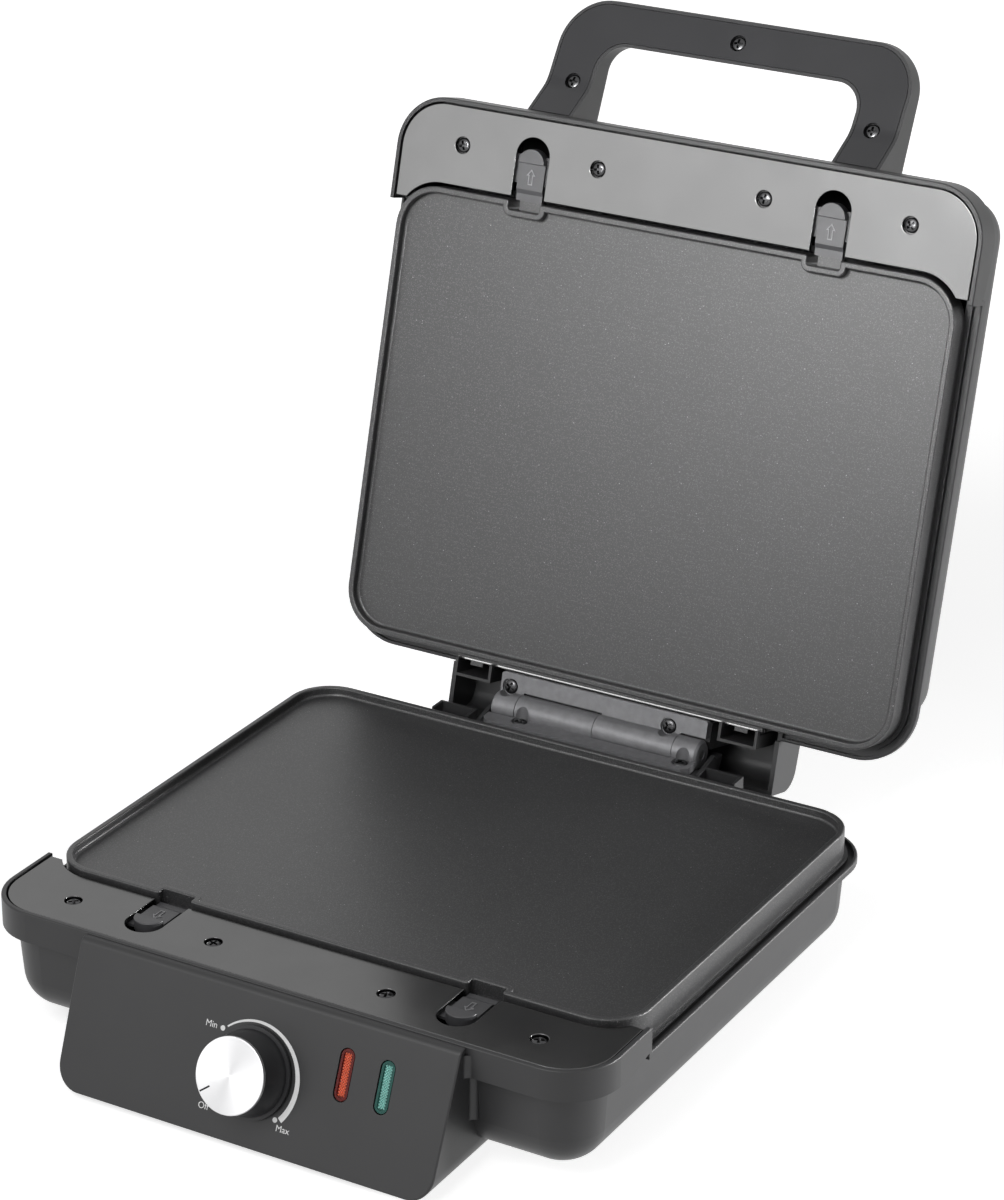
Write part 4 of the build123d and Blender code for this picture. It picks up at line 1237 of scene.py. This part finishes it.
@dataclass
class Studio:
    """Camera, lamps, floor and white surroundings."""

    camera_from_hinge_mm: Point = (771.2, -1406.3, 777.7)
    azimuth: float = 30.3
    elevation: float = 24.0
    roll: float = 0.1
    lens_mm: float = 118.1
    sensor_mm: float = 36.0
    view_reach_m: float = 50.0
    softboxes: tuple[Softbox, ...] = (
        Softbox("key_softbox", place=(0.0, -0.95, 0.95), target=(0.0, 0.1, 0.3), size=(0.7, 0.5), watts=6.0),
        Softbox(
            "lid_softbox", place=(-0.1, -1.0, 0.7), target=(-0.02, 0.1, 0.35), size=(0.3, 0.3), watts=0.6,
            beam=30.0,
        ),
        Softbox(
            "front_softbox", place=(-1.0, -2.3, 1.1), target=(0.0, 0.1, 0.2), size=(1.4, 1.2), watts=11.5
        ),
        Softbox(
            "right_softbox", place=(1.4, 0.9, 0.22), target=(0.15, 0.0, 0.0), size=(0.7, 0.25), watts=1.4,
            beam=22.0,
        ),
    )
    floor_half_m: float = 6.0
    floor_colour: str = "#e6e6e6"
    floor_roughness: float = 0.9
    floor_glow: float = 0.68
    shadow_reach_m: tuple[float, float] = (0.35, 1.1)
    soft_world: float = 0.18

    def build(self) -> None:
        """Make the whole studio."""
        self.add_camera()
        for softbox in self.softboxes:
            softbox.build()
        self.add_floor()
        self.add_world()

    def add_camera(self) -> None:
        """Camera at the photograph's place, angle and focal length."""
        az, el = math.radians(self.azimuth), math.radians(self.elevation)
        forward = Vector((-math.sin(az) * math.cos(el), math.cos(az) * math.cos(el), -math.sin(el)))
        turn = forward.to_track_quat("-Z", "Y").to_matrix().to_4x4()
        roll = Matrix.Rotation(math.radians(self.roll), 4, "Z")
        data = bpy.data.cameras.new("photo_camera")
        data.lens = self.lens_mm
        data.sensor_width = self.sensor_mm
        data.clip_end = self.view_reach_m
        camera = scene_object("photo_camera", data)
        origin = hinge_place().point(*self.camera_from_hinge_mm)
        camera.matrix_world = Matrix.Translation(origin) @ turn @ roll
        bpy.context.scene.camera = camera
        LOG.info("placed the camera")

    def seen_rays(self, tree: Tree) -> Socket:
        """Tell the rays that show the background: from the camera, off gloss or through glass.

        Args:
            tree: Node tree that asks.

        Returns:
            Socket that is 1 for such a ray and otherwise 0.
        """
        rays = add_node(tree, "ShaderNodeLightPath").outputs
        seen = rays["Is Camera Ray"]
        for name in ("Is Glossy Ray", "Is Transmission Ray"):
            seen = add_node(tree, *LARGER, {0: seen, 1: rays[name]}).outputs[0]
        return seen

    def add_floor(self) -> None:
        """Pale floor that shows white and keeps the object's shadow."""
        mesh = bpy.data.meshes.new("studio_floor")
        half = self.floor_half_m
        rim = [(-half, -half, 0), (half, -half, 0), (half, half, 0), (-half, half, 0)]
        mesh.from_pydata(rim, [], [(0, 1, 2, 3)])
        floor = scene_object("studio_floor", mesh)
        material = bpy.data.materials.new("pale_floor_paper")
        material.use_nodes = True
        tree = material.node_tree
        shader = tree.nodes["Principled BSDF"]
        shader.inputs["Base Color"].default_value = linear(self.floor_colour)
        shader.inputs["Roughness"].default_value = self.floor_roughness
        shader.inputs["Specular IOR Level"].default_value = 0.0
        spot = add_node(tree, "ShaderNodeTexCoord").outputs["Object"]
        distance = add_node(tree, *LENGTH, {0: spot}).outputs["Value"]
        near, far = self.shadow_reach_m
        strength = add_node(
            tree, "ShaderNodeMapRange",
            inputs={"Value": distance, "From Min": near, "From Max": far, "To Min": self.floor_glow},
        ).outputs["Result"]
        glow = add_node(tree, *PRODUCT, {0: self.seen_rays(tree), 1: strength}).outputs[0]
        white = add_node(tree, "ShaderNodeEmission", inputs={"Color": WHITE, "Strength": glow})
        inputs = {0: shader.outputs["BSDF"], 1: white.outputs["Emission"]}
        total = add_node(tree, "ShaderNodeAddShader", inputs=inputs)
        tree.links.new(total.outputs[0], tree.nodes["Material Output"].inputs["Surface"])
        floor.data.materials.append(material)

    def add_world(self) -> None:
        """Soft grey world for the object, white for the camera, mirrors and glass."""
        world = bpy.data.worlds.new("studio_world")
        bpy.context.scene.world = world
        world.use_nodes = True
        tree = world.node_tree
        tree.nodes.clear()
        soft, white = [
            add_node(tree, "ShaderNodeBackground", inputs={"Color": WHITE, "Strength": strength}).outputs[0]
            for strength in (self.soft_world, 1.0)
        ]
        mix = add_node(tree, "ShaderNodeMixShader", inputs={0: self.seen_rays(tree), 1: soft, 2: white})
        add_node(tree, "ShaderNodeOutputWorld", inputs={"Surface": mix.outputs[0]})


def main() -> None:
    """Build the studio, dress every node and add the fine pieces."""
    logging.basicConfig(level=logging.INFO)
    bpy.context.scene.view_settings.view_transform = "Standard"
    Studio().build()
    for part in (Housings(), CookingPlates(), Hinge(), Latches(), Screws(), Lenses(), PanelPrint(), Knob()):
        LOG.info("building %s", type(part).__name__)
        part.build()


if __name__ == "__main__":
    main()
